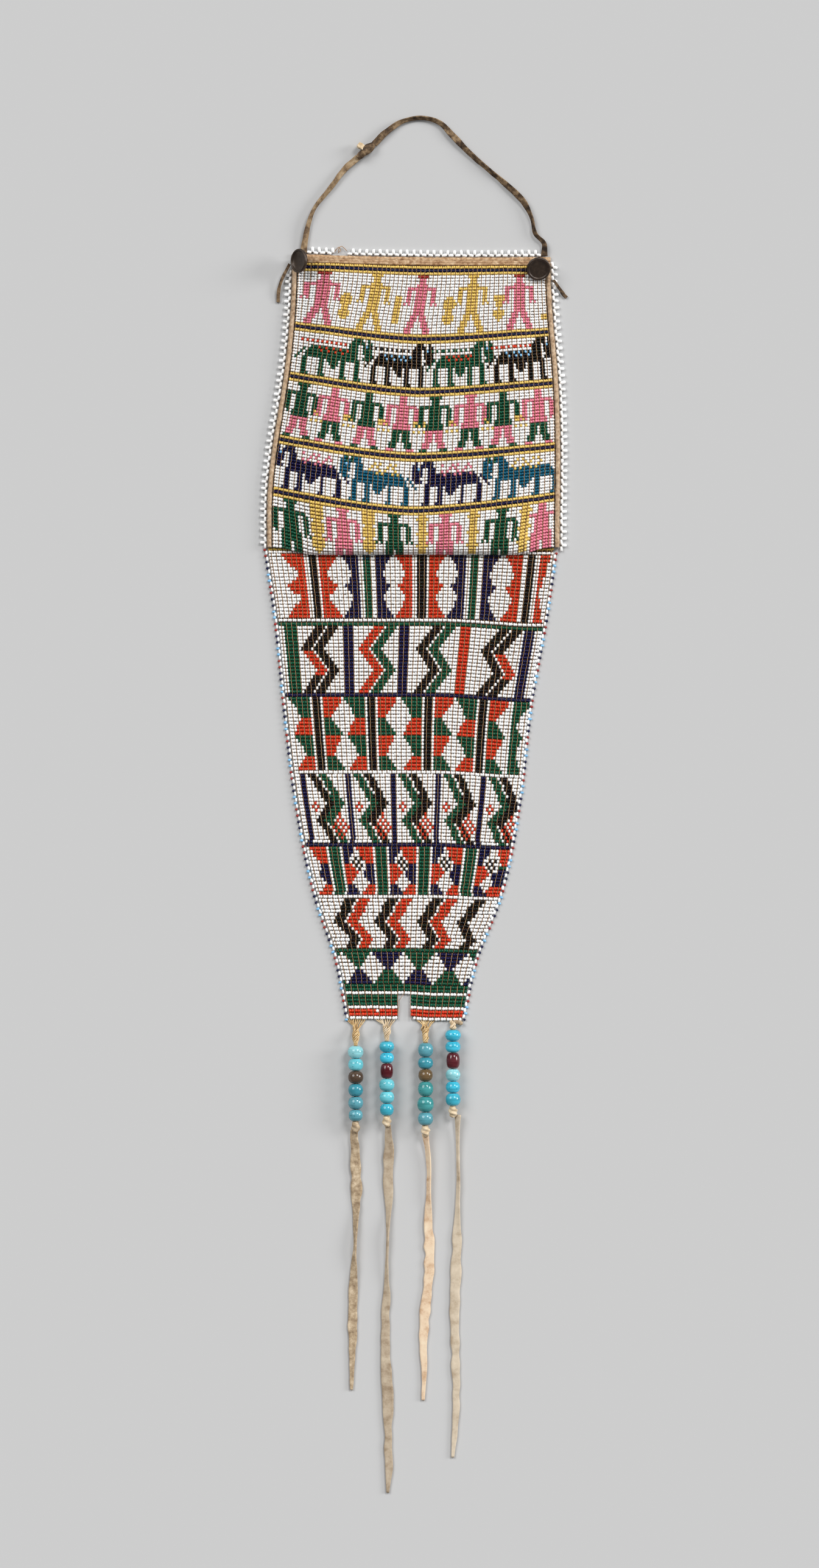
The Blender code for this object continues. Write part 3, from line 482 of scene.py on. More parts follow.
def pouch_rows(u):
    """Share s down the wall of every bead row at each u, as a rows by columns array.

    The stripes bow down in the middle. Rows between two stripes are spaced evenly by their
    length on the surface, from the lip to the end of the roll.
    """
    s = np.linspace(0.0, 1.0, 801)
    wall = front_wall(u[None, :], s[:, None])
    steps = np.linalg.norm(np.diff(wall, axis=0), axis=2)
    travelled = np.concatenate([np.zeros((1, len(u))), np.cumsum(steps, axis=0)])
    bow = np.abs(1 - 2 * u) ** 1.5
    side = np.where(u < 0.5, STRIPE_LEFT[:, None], STRIPE_RIGHT[:, None])
    stripe_y = STRIPE_MIDDLE[:, None] + (side - STRIPE_MIDDLE[:, None]) * bow[None, :]
    rows = np.arange(POUCH_ROWS)
    anchors = np.concatenate([STRIPE_ROWS, [POUCH_ROWS - 1]])
    found = np.empty((POUCH_ROWS, len(u)))
    for k in range(len(u)):
        lengths = np.interp(-stripe_y[:, k], -wall[:, k, 1], travelled[:, k])
        lengths = np.append(lengths, travelled[-1, k] - 1.0)
        lengths[0] = max(lengths[0], 2.2)
        below = rows > 1
        place = np.interp(rows, anchors, lengths)
        first_gap = STRIPE_ROWS[1] - STRIPE_ROWS[0]
        place[~below] = lengths[0] + (rows[~below] - 1) * (lengths[1] - lengths[0]) / first_gap
        found[:, k] = np.interp(place, travelled[:, k], s)
    return found


POUCH_PAIRS = POUCH_COLUMNS // 2
IN_PAIR = 0.228  # a bead's distance from the middle of its pair, as a share of the pair
in_pair = np.where(np.arange(POUCH_COLUMNS) % 2, IN_PAIR, -IN_PAIR)
column_u = (np.arange(POUCH_COLUMNS) // 2 + 0.5 + in_pair) / POUCH_PAIRS
row_s = pouch_rows(column_u)

# How far the columns lean to the right, in mm, at some shares of the width: at the mouth, on the
# way down and at the roll. Each fades out or in over a share of the way down.
LEAN_AT = (0.0, 0.08, 0.3, 0.5, 0.75, 0.9, 1.0)
LEAN_MOUTH, MOUTH_FADE = (0.0, 4.2, 6.2, 5.4, 3.2, 1.6, 0.0), 0.26
LEAN_SIDE, SIDE_FADE = (0.0, 2.6, 1.4, 0.0, 0.0, 0.0, 0.0), 0.62
LEAN_ROLL, ROLL_START = (0.0, 3.0, 1.4, 0.0, -2.0, -3.4, 0.0), 0.74
LEAN_WIDTH = 170.0


def lean_columns(u, s):
    """Columns lean right at the mouth, where the strap pulls, and draw in at the roll's corners."""
    mouth = np.interp(u, LEAN_AT, LEAN_MOUTH) * (1 - smoothstep(s / MOUTH_FADE))
    side = np.interp(u, LEAN_AT, LEAN_SIDE) * (1 - smoothstep(s / SIDE_FADE))
    roll = np.interp(u, LEAN_AT, LEAN_ROLL) * smoothstep((s - ROLL_START) / (1 - ROLL_START))
    return u + (mouth + side + roll) / LEAN_WIDTH


def surface_frames(surface, u, s):
    """Places on a surface, with unit vectors along a row, along a column and square to both."""
    step = 1e-3
    place = surface(u, s)
    across = unit(surface(u + step, s) - surface(u - step, s))
    down = surface(u, np.minimum(s + step, 1.0)) - surface(u, np.maximum(s - step, 0.0))
    normal = unit(np.cross(down, across))
    return place, across, np.cross(normal, across), normal


print("front beads", row_s.size)

# %% [markdown]
# ## Drawing with beads
# The figures are old patterns of this craft, drawn bead by bead. A chart holds one colour
# number for each bead, and small functions draw a person, a horse or a zigzag into it. That
# keeps each figure a rule in bead units, at the places where the weaver put it.

# %% Bead colours
COLOURS = {
    "white": (250, 249, 247), "yellow": (226, 192, 102), "navy": (10, 14, 60), "green": (4, 76, 52),
    "pink": (226, 128, 148), "black": (9, 8, 9), "red": (206, 56, 28), "teal": (4, 86, 112),
    "sky": (128, 186, 228), "crimson": (150, 44, 38), "olive": (178, 148, 62), "petrol": (0, 62, 72),
}
PALETTE = np.array([srgb(*colour) for colour in COLOURS.values()])
WHITE, YELLOW, NAVY, GREEN, PINK, BLACK, RED, TEAL, SKY, CRIMSON, OLIVE, PETROL = range(len(COLOURS))


def dab(chart, row, first, last, colour):
    """Colour the beads of one row from column first to last, where they are on the chart."""
    first, last = int(round(first)), int(round(last))
    if 0 <= row < chart.shape[0] and last >= 0 and first < chart.shape[1]:
        chart[row, max(first, 0):last + 1] = colour


def draw(chart, top, left, marks, colour, mirror=0):
    """Draw marks (row, first, last[, colour]) from a corner, turned round in a width if mirror is set."""
    for row, first, last, *own in marks:
        if mirror:
            first, last = mirror - last, mirror - first
        dab(chart, top + row, left + first, left + last, own[0] if own else colour)


def dot(chart, top, left, places, colour):
    """Single beads at places given by row and column."""
    for row, column in places:
        dab(chart, top + row, left + column, left + column, colour)


# %% Figures of the pouch
def limbs(first_row, legs, *colour):
    """Marks of two arms with their hands, and of parted legs by their rows and inner edges."""
    marks = [(row, side, side + 1) for row in range(first_row, 9) for side in (-6, 5)]
    marks += [(9, column, column) for column in (-7, -5, 5, 7)]
    for row, inner in legs:
        marks += [(row, -inner - 2, -inner, *colour), (row, inner, inner + 2, *colour)]
    return marks


def draw_dancer(chart, top, middle, body, head):
    """A person of the first band: round head, square shoulders, long arms and parted legs."""
    marks = [(0, -2, 2, head), (1, -1, 1), (2, -1, 1), (3, -2, 2), (4, -6, 6)]
    marks += [(row, -2, 2) for row in range(5, 13)]
    marks += limbs(5, ((13, 1), (14, 1), (15, 2), (16, 2), (17, 3), (18, 3)))
    draw(chart, top, middle, marks, body)


def draw_knot(chart, top, middle, widths, colour):
    """A small shape of centred rows, each of its own width in beads."""
    for k, width in enumerate(widths):
        if width:
            dab(chart, top + k, middle - width / 2 + 0.5, middle + width / 2 - 0.5, colour)


def draw_walker(chart, top, middle, coat, legs):
    """A person of the third and the last band: coat and feet in one colour, legs in another."""
    marks = [(0, -1.5, 1.5), (1, -1, 1), (2, -1, 1), (3, -6, 5), (9, -3, 3), (10, -3, 3)]
    marks += [(row, -2, 2) for row in range(4, 9)]
    marks += limbs(4, ((12, 1), (13, 1), (14, 1), (15, 2), (16, 2)), legs)
    marks += [(11, -3, 3, legs), (17, -5, -3), (17, 3, 5)]
    draw(chart, top, middle, marks, coat)


def draw_horse(chart, top, left, coat, spots, dashes, shorter=0, mirror=0):
    """A walking horse 29 columns long: four legs, a hanging head and a saddle of spots.

    shorter takes columns out of its middle.
    """
    marks = [(0, 21, 24), (0, 27, 27), (1, 20, 25), (1, 27, 28), (2, 19, 22), (2, 25, 28),
             (3, 19, 22), (3, 25, 28), (4, 25, 28), (5, 26, 28), (6, 25, 27)]
    marks += [(4, 3, 22), (5, 2, 22), (6, 1, 22), (7, 1, 23), (8, 10, 14), (9, 11, 14), (10, 12, 13)]
    for row in range(8, 14):
        foot = int(row == 13)
        marks += [(row, a, a + 1 + foot) for a in (0, 7, 16, 22)]
    marks += [(5, 0, 0), (6, -1, -1), (7, -2, -2), (8, -3, -3)]
    marks += [(4, c, c, spots) for c in (6, 9, 12, 15, 18)] + [(5, c, c, spots) for c in (7, 10, 13, 16)]
    marks += [(2, 26, 26, SKY)]
    marks += [(2, c, c, dashes) for c in range(-1, 18, 2)]
    marks = [(row, first - round(shorter * first / 28), last - round(shorter * last / 28), *own)
             for row, first, last, *own in marks]
    draw(chart, top, left, marks, coat, mirror)


def draw_lattice(chart, top, first, last, colour):
    """A saddle cloth of single beads set in diamonds."""
    places = [(row, column) for row in range(4) for column in range(first + row % 2, last, 2)]
    dot(chart, top, 0, [(row, column) for row, column in places if (column // 2 + row) % 3], colour)


front = np.full((POUCH_ROWS, POUCH_COLUMNS), WHITE)
for row in STRIPE_ROWS.astype(int):
    front[row - 1:row + 2] = np.array([YELLOW, NAVY, YELLOW])[:, None]
for k, middle in enumerate((8, 30, 51, 74, 95)):
    body = PINK if k % 2 == 0 else YELLOW
    draw_dancer(front, 3, middle, body, CRIMSON if body == PINK else YELLOW)
for middle in (18, 41, 64):
    draw_knot(front, 10, middle, (3, 4, 4, 4, 3, 3, 4, 4, 3), YELLOW)
draw_knot(front, 10, 86, (5, 4, 3, 3, 2, 4, 4, 3, 2), YELLOW)
draw_knot(front, 17, 106, (3, 3), YELLOW)
for left, coat, spots, dashes, shorter in (
        (4, GREEN, RED, RED, 0), (33, BLACK, SKY, BLACK, 3), (59, GREEN, RED, GREEN, 4),
        (84, BLACK, SKY, RED, 4)):
    draw_horse(front, 25, left, coat, spots, dashes, shorter)
for k, middle in enumerate((6, 19, 33, 47, 60, 74, 87, 101)):
    coat, legs = (GREEN, PINK) if k % 2 == 0 else (PINK, GREEN)
    draw_walker(front, 42, middle, coat, legs)
    if k < 7:
        draw_knot(front, 50, middle + 7, (4, 4), YELLOW)
        dot(front, 53, middle, ((0, 5), (0, 7), (0, 9)), YELLOW)
for left, coat, spots, shorter in ((-1, NAVY, PINK, 2), (25, TEAL, YELLOW, 2), (53, NAVY, PINK, 2),
                                   (80, TEAL, YELLOW, 0)):
    draw_horse(front, 63, left, coat, coat, WHITE, shorter, mirror=28 - shorter)
    draw_lattice(front, 64, left + 11, left + 23, spots)
    if coat == TEAL:
        dot(front, 63, left, ((0, 2), (0, 4), (1, 2), (1, 4)), GREEN)
for k, middle in enumerate((6, 26, 46, 66, 88, 103)):
    colour = (GREEN, PINK)[k % 2]
    draw_walker(front, 80, middle, colour, colour)
for middle in (16, 36, 57, 77, 97):
    draw_knot(front, 80, middle, (4, 5, 4, 4, 3, 4, 5, 4, 3, 4, 5, 4, 3, 2), YELLOW)
print("coloured beads on the front", int((front != WHITE).sum()))

# %% [markdown]
# ## Seed beads as little barrels
# A seed bead is a short glass tube with rounded ends, threaded through its middle. Some thirty
# thousand of them need a very light shape, so each is a barrel of two or three small rings.
# One function places all of them at once: a centre and three directions for each bead.


# %% Barrels by the thousand
def barrel_template(angles, rings):
    """One closed barrel along x: its points, its four-sided faces and its triangles. An odd
    number of sides leaves one triangle at each end."""
    angles = np.radians(angles)
    places, radii = np.array(rings).T
    around = len(angles)
    points = np.stack([
        np.repeat(places, around), np.outer(radii, np.sin(angles)).ravel(),
        np.outer(radii, np.cos(angles)).ravel()], axis=1)
    index = np.arange(len(rings) * around).reshape(len(rings), around)
    turned_on = np.roll(index, -1, axis=1)
    sides = np.stack([index[:-1], index[1:], turned_on[1:], turned_on[:-1]], -1)
    fours, threes = list(sides.reshape(-1, 4)), []
    for ring, order in ((index[0], 1), (index[-1], -1)):
        for k in range(1, around - 2, 2):
            fours.append(ring[[0, k, k + 1, k + 2]][::order])
        if around % 2:
            threes.append(ring[[0, around - 2, around - 1]][::order])
    return points, np.array(fours), np.array(threes, int).reshape(-1, 3)


def add_beads(name, template, centres, axes, lengths, widths, colours, seed, wobble=0.05, **told):
    """Place the barrel once for each bead: its centre, its three directions, its length and its
    width. Each bead differs a little in size, place and colour, and has its own cell of the UV map."""
    points, fours, threes = template
    random = np.random.default_rng(seed)
    count = len(centres)
    along, sideways, upward = axes
    half = lengths / 2 * (1 + random.normal(0, wobble, count))
    radius = widths / 2 * (1 + random.normal(0, wobble * 0.8, count))
    along = unit(along + random.normal(0, 0.05, (count, 1)) * sideways)
    placed = (centres + sideways * random.normal(0, 0.07, (count, 1))
              + upward * random.normal(0, 0.05, (count, 1)))[:, None, :]
    for size, axis, share in zip((half, radius, radius), (along, sideways, upward), points.T):
        placed = placed + (size[:, None] * share)[..., None] * axis[:, None, :]
    base = (np.arange(count) * len(points))[:, None, None]
    fours, threes = (base + fours).reshape(-1, 4), (base + threes).reshape(-1, 3)
    mesh = add_piece(name, placed, fours.tolist() + threes.tolist(), bead_glass, **told).data
    shade = colours * (1 + random.normal(0, 0.06, (count, 1))) + random.normal(0, 0.002, (count, 3))
    shade = np.clip(shade, 0.001, 0.95)
    attribute = mesh.color_attributes.new("bead_colour", "FLOAT_COLOR", "POINT")
    values = np.ones((count, len(points), 4))
    values[..., :3] = shade[:, None, :]
    attribute.data.foreach_set("color", values.ravel().astype(np.float32))
    side = math.ceil(math.sqrt(count))
    cell = np.stack([np.arange(count) % side, np.arange(count) // side], axis=1) + 0.5
    spread = 0.28 * np.stack([points[:, 0], np.arctan2(points[:, 1], points[:, 2]) / math.pi], axis=1)
    uv = (cell[:, None, :] + spread[None]) / side
    layer = mesh.uv_layers.new(name="OFBake")
    corners = np.concatenate([fours.ravel(), threes.ravel()])
    layer.data.foreach_set("uv", uv.reshape(-1, 2)[corners].ravel().astype(np.float32))
    print(name, count, "beads", 2 * len(fours) + len(threes), "triangles")


# Polished opaque glass that takes each bead's own colour.
bead_glass, bead_tree, bead_shader = new_material("seed_bead_glass", 0.16, specular=0.32)
bead_colour = add_node(bead_tree, "ShaderNodeAttribute", attribute_name="bead_colour")
bead_tree.links.new(bead_colour.outputs["Color"], bead_shader.inputs["Base Color"])
SEED_BEAD = barrel_template((-144, -72, 0, 72, 144), ((-1.0, 0.66), (0.0, 1.0), (1.0, 0.66)))
BACK_BEAD = barrel_template((-90, -32, 32, 90), ((-1.0, 0.85), (1.0, 0.85)))

# %% Front beads
FILL_ALONG, FILL_DOWN = 0.92, 1.06  # shares of the room along and down that a bead fills
u_grid = lean_columns(column_u[None, :], row_s)
place, across, down, normal = surface_frames(front_wall, u_grid, row_s)
bead_length = np.linalg.norm(np.gradient(place, axis=1), axis=2) * FILL_ALONG
row_pitch = np.linalg.norm(np.gradient(place, axis=0), axis=2)
bead_width = np.clip(row_pitch * FILL_DOWN, 1.6, 2.3)
for name, rows, nodes in (("front_beads_upper", slice(0, 41), ("pouch_front",)),
                          ("front_beads_lower", slice(41, POUCH_ROWS), ())):
    add_beads(name, SEED_BEAD, (place + normal * 0.05)[rows].reshape(-1, 3),
              [axis[rows].reshape(-1, 3) for axis in (across, down, normal)], bead_length[rows].ravel(),
              bead_width[rows].ravel(), PALETTE[front[rows]].reshape(-1, 3), 101 + rows.start,
              stands_for=nodes, slot="white_beads")

# %% [markdown]
# ## The warp threads of the pouch
# Pairs of beads sit between warp threads that show as thin tan lines. A sheet behind the beads
# stands for the weft and is painted near black as the shade in the gaps between the beads, and a
# thin wavy thread runs down between each two pairs.


# %% Weft sheet, painted near black as shade, and warp threads
def grid_faces(rows, columns, base=0):
    """Four-sided faces of a grid of points, wound so that they face up when rows run down."""
    index = base + np.arange(rows * columns).reshape(rows, columns)
    return np.stack([index[:-1, :-1], index[1:, :-1], index[1:, 1:], index[:-1, 1:]], -1).reshape(-1, 4)


def add_shell(name, top, thickness, normal):
    """A sheet of weft painted near black as the shade between the beads, with a real thickness: the
    grid, a copy under it, and walls round the rim.
    """
    rows, columns = top.shape[:2]
    points = np.concatenate([top.reshape(-1, 3), (top - normal * thickness).reshape(-1, 3)])
    upper = grid_faces(rows, columns)
    lower = grid_faces(rows, columns, rows * columns)[:, ::-1]
    index = np.arange(rows * columns).reshape(rows, columns)
    rim = np.concatenate([index[0, ::-1], index[1:, 0], index[-1, 1:], index[-2:0:-1, -1]])
    after = np.roll(rim, -1)
    walls = np.stack([rim, rim + rows * columns, after + rows * columns, after], -1)
    add_piece(name, points, np.concatenate([upper, lower, walls]).tolist(), weft_and_gap_shade)


sheet_u, sheet_s = np.meshgrid(np.linspace(0.0, 1.0, 40), np.linspace(0.0, 1.0, 60))
sheet_place, _, _, sheet_normal = surface_frames(front_wall, np.clip(sheet_u, 0.002, 0.998), sheet_s)
# The weft sheet under the front's beads is painted near black as shade in the gaps between them.
add_shell("front_weft_sheet", sheet_place - sheet_normal * 0.25, 0.35, sheet_normal)


def add_tubes(name, bundles, radius, around, material, **told):
    """Put closed thin tubes into the scene. Each path of each bundle is a run of points."""
    angle = circle(around)[:, None]
    points, faces, base = [], [], 0
    for path in (path for bundle in bundles for path in bundle):
        _, sideways, upward = level_frame(path)
        ring = np.cos(angle) * sideways[:, None] + np.sin(angle) * upward[:, None]
        points.append((path[:, None] + radius * ring).reshape(-1, 3))
        faces += ring_faces(len(path), around, base)
        base += len(path) * around
    add_piece(name, np.concatenate(points), faces, material, **told)
    print(name, base, "points")


WARP_RADIUS = 0.2
WARP_LIFT = 0.72  # mm above the middle of the wall
warp_u = np.clip(np.arange(POUCH_PAIRS + 1) / POUCH_PAIRS, 0.003, 0.997)
warp_s = pouch_rows(warp_u)
warp_place, warp_across, _, warp_normal = surface_frames(
    front_wall, lean_columns(warp_u[None, :], warp_s), warp_s)
wave = 0.16 * np.where(np.arange(POUCH_ROWS) % 2, 1.0, -1.0)[:, None, None]
warp_paths = (warp_place + warp_across * wave + warp_normal * WARP_LIFT).transpose(1, 0, 2)
add_tubes("front_warp_threads", [warp_paths], WARP_RADIUS, 3, thread)

# %% [markdown]
# ## The back of the pouch
# The back wall lies flat on the table. Its beads face down, in the same stripes as the front.

# %% Back beads
BACK_Z = 1.02
BACK_LENGTH, BACK_WIDTH = 1.46, 2.02
back_u, back_t = np.meshgrid(column_u, (np.arange(POUCH_ROWS - 3) + 0.5) / (POUCH_ROWS - 3))


def back_wall(u, t):
    """The flat back wall, from the mouth's lip down to the seam."""
    y = MOUTH_Y + lip_rise(u) - t * (POUCH_HEIGHT + lip_rise(u))
    left, right = pouch_span(y)
    return np.stack([left + u * (right - left), y, np.full_like(y, BACK_Z)], axis=-1)


place, across, down, normal = surface_frames(back_wall, back_u, back_t)
back_chart = front[2:POUCH_ROWS - 1, ::-1]
add_beads("back_beads", BACK_BEAD, place.reshape(-1, 3),
          [axis.reshape(-1, 3) for axis in (across, -down, -normal)],
          np.full(back_u.size, BACK_LENGTH), np.full(back_u.size, BACK_WIDTH),
          PALETTE[back_chart].reshape(-1, 3), 140, stands_for=("pouch_back",), slot="white_beads")
flat_u, flat_t = np.meshgrid(np.linspace(0, 1, 12), np.linspace(0, 1, 12))
# The back's sheet takes the same near black, painted as shade between the beads.
add_shell("back_weft_sheet", back_wall(flat_u, flat_t) + 0.55 * UP, 0.6, UP)

# %% [markdown]
# ## The tail's pattern
# The tail's beads sit in pairs between its warp threads too, and it narrows by leaving out beads
# at its two sides. Its bands of half hourglasses, zigzags and diamonds are drawn in bead units.

# %% The tail's surface
TAIL_TOP_Y, TAIL_LENGTH = 93.1, 310.0
FOOT_Y = TAIL_TOP_Y - TAIL_LENGTH
TAIL_STATIONS = np.array((
    (0.00, 188.0, -2.7), (0.14, 175.5, -2.6), (0.34, 158.4, -4.8), (0.54, 143.6, -4.6),
    (0.75, 116.4, -4.6), (0.87, 89.5, -5.6), (1.00, 73.0, -6.2)))
NOTCH_DEPTH, NOTCH_CENTRE_X = 15.5, -7.0
FIRST_TAB_ROW = 128
TAIL_BEAD_Z, TAIL_SHEET_Z, TAIL_THREAD_Z = 1.1, 1.15, 1.82
TAIL_ANCHOR_ROWS = (0, 1, 2, 20, 22, 42, 64, 85, 100, 115, 127, 134)
TAIL_ANCHOR_Y = (92.2, 90.4, 88.4, 48.1, 43.0, -3.6, -54.2, -102.0, -136.0, -171.2, -199.2, -215.6)
TAIL_ROWS = 135
# First row, last row and number of columns of each band at its middle row.
BANDS = {
    "hourglasses": (0, 21, 115), "tall_zigzags": (22, 42, 103), "hexagons": (43, 64, 93),
    "chevrons": (65, 85, 85), "low_hexagons": (86, 100, 74), "low_zigzags": (101, 115, 61),
    "diamonds": (116, 124, 47), "foot": (125, 134, 37),
}


def tail_span(y):
    """Left and right edge of the tail's woven field at a height."""
    t = np.clip((TAIL_TOP_Y - np.asarray(y, float)) / TAIL_LENGTH, 0.0, 1.0)
    width, centre = smooth_through(TAIL_STATIONS[:, 0], TAIL_STATIONS[:, 1:], t).T
    return centre - width / 2, centre + width / 2


def notch_sides(y):
    """Left and right side of the notch between the two tabs."""
    share = np.clip((FOOT_Y + NOTCH_DEPTH - y) / NOTCH_DEPTH, 0.0, 1.0)
    half = (5.4 + 4.0 * share) / 2
    return NOTCH_CENTRE_X - half, NOTCH_CENTRE_X + half


tail_y = np.interp(np.arange(TAIL_ROWS), TAIL_ANCHOR_ROWS, TAIL_ANCHOR_Y)
tail_left, tail_right = tail_span(tail_y)


# %% Figures of the tail
# Half an hourglass steps in and out twice: its width in each row, as a share of the widest.
HOURGLASS = np.array([8, 7, 6, 5, 4, 3, 3, 4, 5, 7, 6, 5, 3, 3, 4, 5, 6, 7, 8]) / 8
RIGHT_EDGE = (4, 4, 3, 3, 3, 3, 2, 2, 2, 1, 1, 1, 2, 2, 2, 3, 3, 3, 4)


def draw_bar(chart, top, bottom, first, last, colour):
    """An upright bar over some rows."""
    for row in range(top, bottom + 1):
        dab(chart, row, first, last, colour)


def draw_zigzag(chart, top, bottom, start, turns, strands):
    """Strands side by side that wander together: turns gives (row, shift) where they turn, and
    each strand is (first column, width, colour, other colour, first row and last row of it)."""
    rows = np.arange(top, bottom + 1)
    shift = np.interp(rows - top, [row for row, _ in turns], [offset for _, offset in turns])
    for row, offset in zip(rows, shift):
        for first, width, colour, other, change, back in strands:
            shown = other if change <= row - top <= back else colour
            at = start + round(float(offset)) + first
            dab(chart, row, at, at + width - 1, shown)


def draw_stepped(chart, top, edge, widths, colours, to_right):
    """Beads against a straight edge: a run of rows, each with its own width, in one colour or a
    colour for each row."""
    for row, (width, colour) in enumerate(zip(widths, np.broadcast_to(colours, len(widths)))):
        first = edge if to_right else edge - width + 1
        dab(chart, top + row, first, first + width - 1, colour)


band_charts = {name: np.full((last - first + 1, columns), WHITE)
               for name, (first, last, columns) in BANDS.items()}

chart = band_charts["hourglasses"]
chart[0], chart[1], chart[21] = OLIVE, WHITE, WHITE
for first, last, colour, straight_right in (
        (5, 13, RED, True), (20, 27, RED, False), (29, 35, NAVY, True), (43, 49, NAVY, False),
        (51, 57, RED, True), (65, 71, RED, False), (73, 79, NAVY, True), (87, 93, NAVY, False),
        (96, 102, RED, True)):
    widths = [max(2, round((last - first + 1) * share)) for share in HOURGLASS]
    draw_stepped(chart, 2, last if straight_right else first, widths, colour, not straight_right)
draw_stepped(chart, 2, 110, RIGHT_EDGE, RED, True)
for first, last, colour in ((16, 18, BLACK), (38, 40, GREEN), (60, 63, BLACK), (82, 84, GREEN),
                            (105, 107, BLACK)):
    draw_bar(chart, 2, 20, first, last, colour)
draw_bar(chart, 2, 3, 38, 40, PETROL)

chart = band_charts["tall_zigzags"]
chart[0], chart[20] = GREEN, NAVY
WANDER = ((0, 0), (6, -6), (12, 0), (18, -6))
for first, last, colour in ((2, 6, GREEN), (25, 28, NAVY), (47, 50, NAVY), (71, 74, RED), (96, 99, NAVY)):
    draw_bar(chart, 1, 19, first, last, colour)
for start, one, other_one, two, other_two in (
        (14, BLACK, RED, BLACK, BLACK), (37, RED, RED, GREEN, GREEN),
        (60, BLACK, BLACK, GREEN, GREEN), (86, BLACK, BLACK, BLACK, RED)):
    draw_zigzag(chart, 1, 19, start, WANDER, (
        (0, 4, one, other_one, 7, 13), (5, 4, two, other_two, 7, 13)))

chart = band_charts["hexagons"]
chart[21] = WHITE
RIGHT_WIDTHS = (7, 7, 6, 5, 4, 3, 3, 4, 5, 6, 7, 6, 6, 5, 4, 4, 3, 4, 5, 6, 7)
LEFT_WIDTHS = (8, 7, 6, 5, 5, 4, 4, 5, 6, 6, 7, 7, 6, 5, 4, 4, 3, 4, 5, 6, 7)
EDGE_WIDTHS = (6, 6, 5, 4, 3, 3, 2, 2, 3, 4, 5, 4, 4, 3, 3, 3, 3, 4, 4, 5, 5)
RIGHT_COLOURS = (RED,) * 6 + (GREEN,) * 5 + (RED,) * 6 + (GREEN,) * 4
LEFT_COLOURS = (GREEN,) * 6 + (RED,) * 5 + (GREEN,) * 6 + (RED,) * 4
for middle in (10, 31, 53, 74):
    draw_bar(chart, 0, 20, middle, middle + 2, BLACK)
    draw_stepped(chart, 0, middle + 4, RIGHT_WIDTHS, RIGHT_COLOURS, True)
    draw_stepped(chart, 0, middle - 2, LEFT_WIDTHS, LEFT_COLOURS, False)
draw_stepped(chart, 0, 87, EDGE_WIDTHS, GREEN, True)

chart = band_charts["chevrons"]
chart[20] = NAVY
CHEVRON = ((0, 0), (8, 6), (13, 1), (19, 6))
for k, middle in enumerate((2, 19, 36, 53, 70)):
    draw_bar(chart, 0, 19, middle, middle + 1, NAVY)
    one, two = (BLACK, GREEN) if k == 0 else (GREEN, BLACK)
    draw_zigzag(chart, 0, 19, middle + 3, CHEVRON, (
        (0, 3, one, one, 0, 0), (3, 1, WHITE, two, 6, 13), (4, 3, two, two, 0, 0)))
    dot(chart, 0, middle, ((8, 4), (9, 3), (9, 5), (10, 4)), RED)
    for row in range(11, 19):
        reach = max(0, 3 - abs(row - 15))
        dot(chart, row, middle + 13, [(0, column) for column in range(-reach, reach + 1, 2)], RED)

chart = band_charts["low_hexagons"]
chart[14] = WHITE
for middle in (8, 25, 41, 58):
    draw_bar(chart, 0, 13, middle, middle + 3, GREEN)
    draw_stepped(chart, 0, middle + 5, (4, 4, 3, 2, 2, 3, 4, 5, 4, 3, 2, 3, 4, 5),
                 (NAVY,) * 5 + (RED,) * 6 + (NAVY,) * 3, True)
    draw_stepped(chart, 0, middle - 2, (6, 5, 5, 4, 3, 3, 3, 4, 4, 3, 2, 3, 4, 5),
                 (RED,) * 5 + (NAVY,) * 6 + (RED,) * 3, False)
    dot(chart, 0, middle, ((3, 9), (3, 11), (4, 8), (4, 10), (5, 9), (5, 11), (6, 10)), BLACK)
draw_stepped(chart, 0, 73, (4, 4, 3, 3, 2, 3, 3, 5, 5, 4, 4, 5, 6, 6),
             (RED,) * 5 + (GREEN,) + (NAVY,) * 5 + (RED,) * 3, False)

chart = band_charts["low_zigzags"]
chart[14] = GREEN
for start in (8, 23, 39, 54):
    second = RED if start < 54 else WHITE
    draw_zigzag(chart, 0, 13, start, ((0, 0), (6, -5), (11, 0), (13, -2)),
                ((0, 4, BLACK, BLACK, 0, 0), (5, 4, second, second, 0, 0)))

chart = band_charts["diamonds"]
DIAMONDS = (1, 11, 22, 33, 44)
for row in range(9):
    reach = 4.2 - abs(row - 4)
    chart[row] = GREEN
    side = (GREEN, NAVY) if row < 5 else (NAVY, GREEN)
    for k, middle in enumerate(DIAMONDS):
        dab(chart, row, middle, middle + 10, side[k % 2])
    for middle in DIAMONDS:
        dab(chart, row, middle - reach, middle + reach, WHITE)

chart = band_charts["foot"]
chart[:] = np.array([GREEN, GREEN, WHITE, GREEN, GREEN, GREEN, WHITE, RED, RED, WHITE])[:, None]
chart[7, 9] = WHITE
print("bands", list(band_charts))


# %% Where each bead of the tail lies
PAIR_SHIFT = 0.055  # share of a column that the beads of a pair move towards each other


def tail_row(row, name):
    """Middles, widths and chart columns of one row's beads.

    A row holds as many columns as fit, and always an odd or always an even number in one
    band, so that its figures stay upright.
    """
    first, last, columns = BANDS[name]
    widths = tail_right[first:last + 1] - tail_left[first:last + 1]
    middle = widths[len(widths) // 2]
    width = tail_right[row] - tail_left[row]
    pitch = middle / columns * (width / middle) ** 0.75
    count = columns + 2 * round((width / pitch - columns) / 2)
    number = np.arange(count) - count // 2
    drawn_in = np.where(number % 2, -PAIR_SHIFT, PAIR_SHIFT)
    x = tail_left[row] + (np.arange(count) + 0.5 + drawn_in) * width / count
    return x, np.full(count, width / count), np.clip(number + columns // 2, 0, columns - 1)


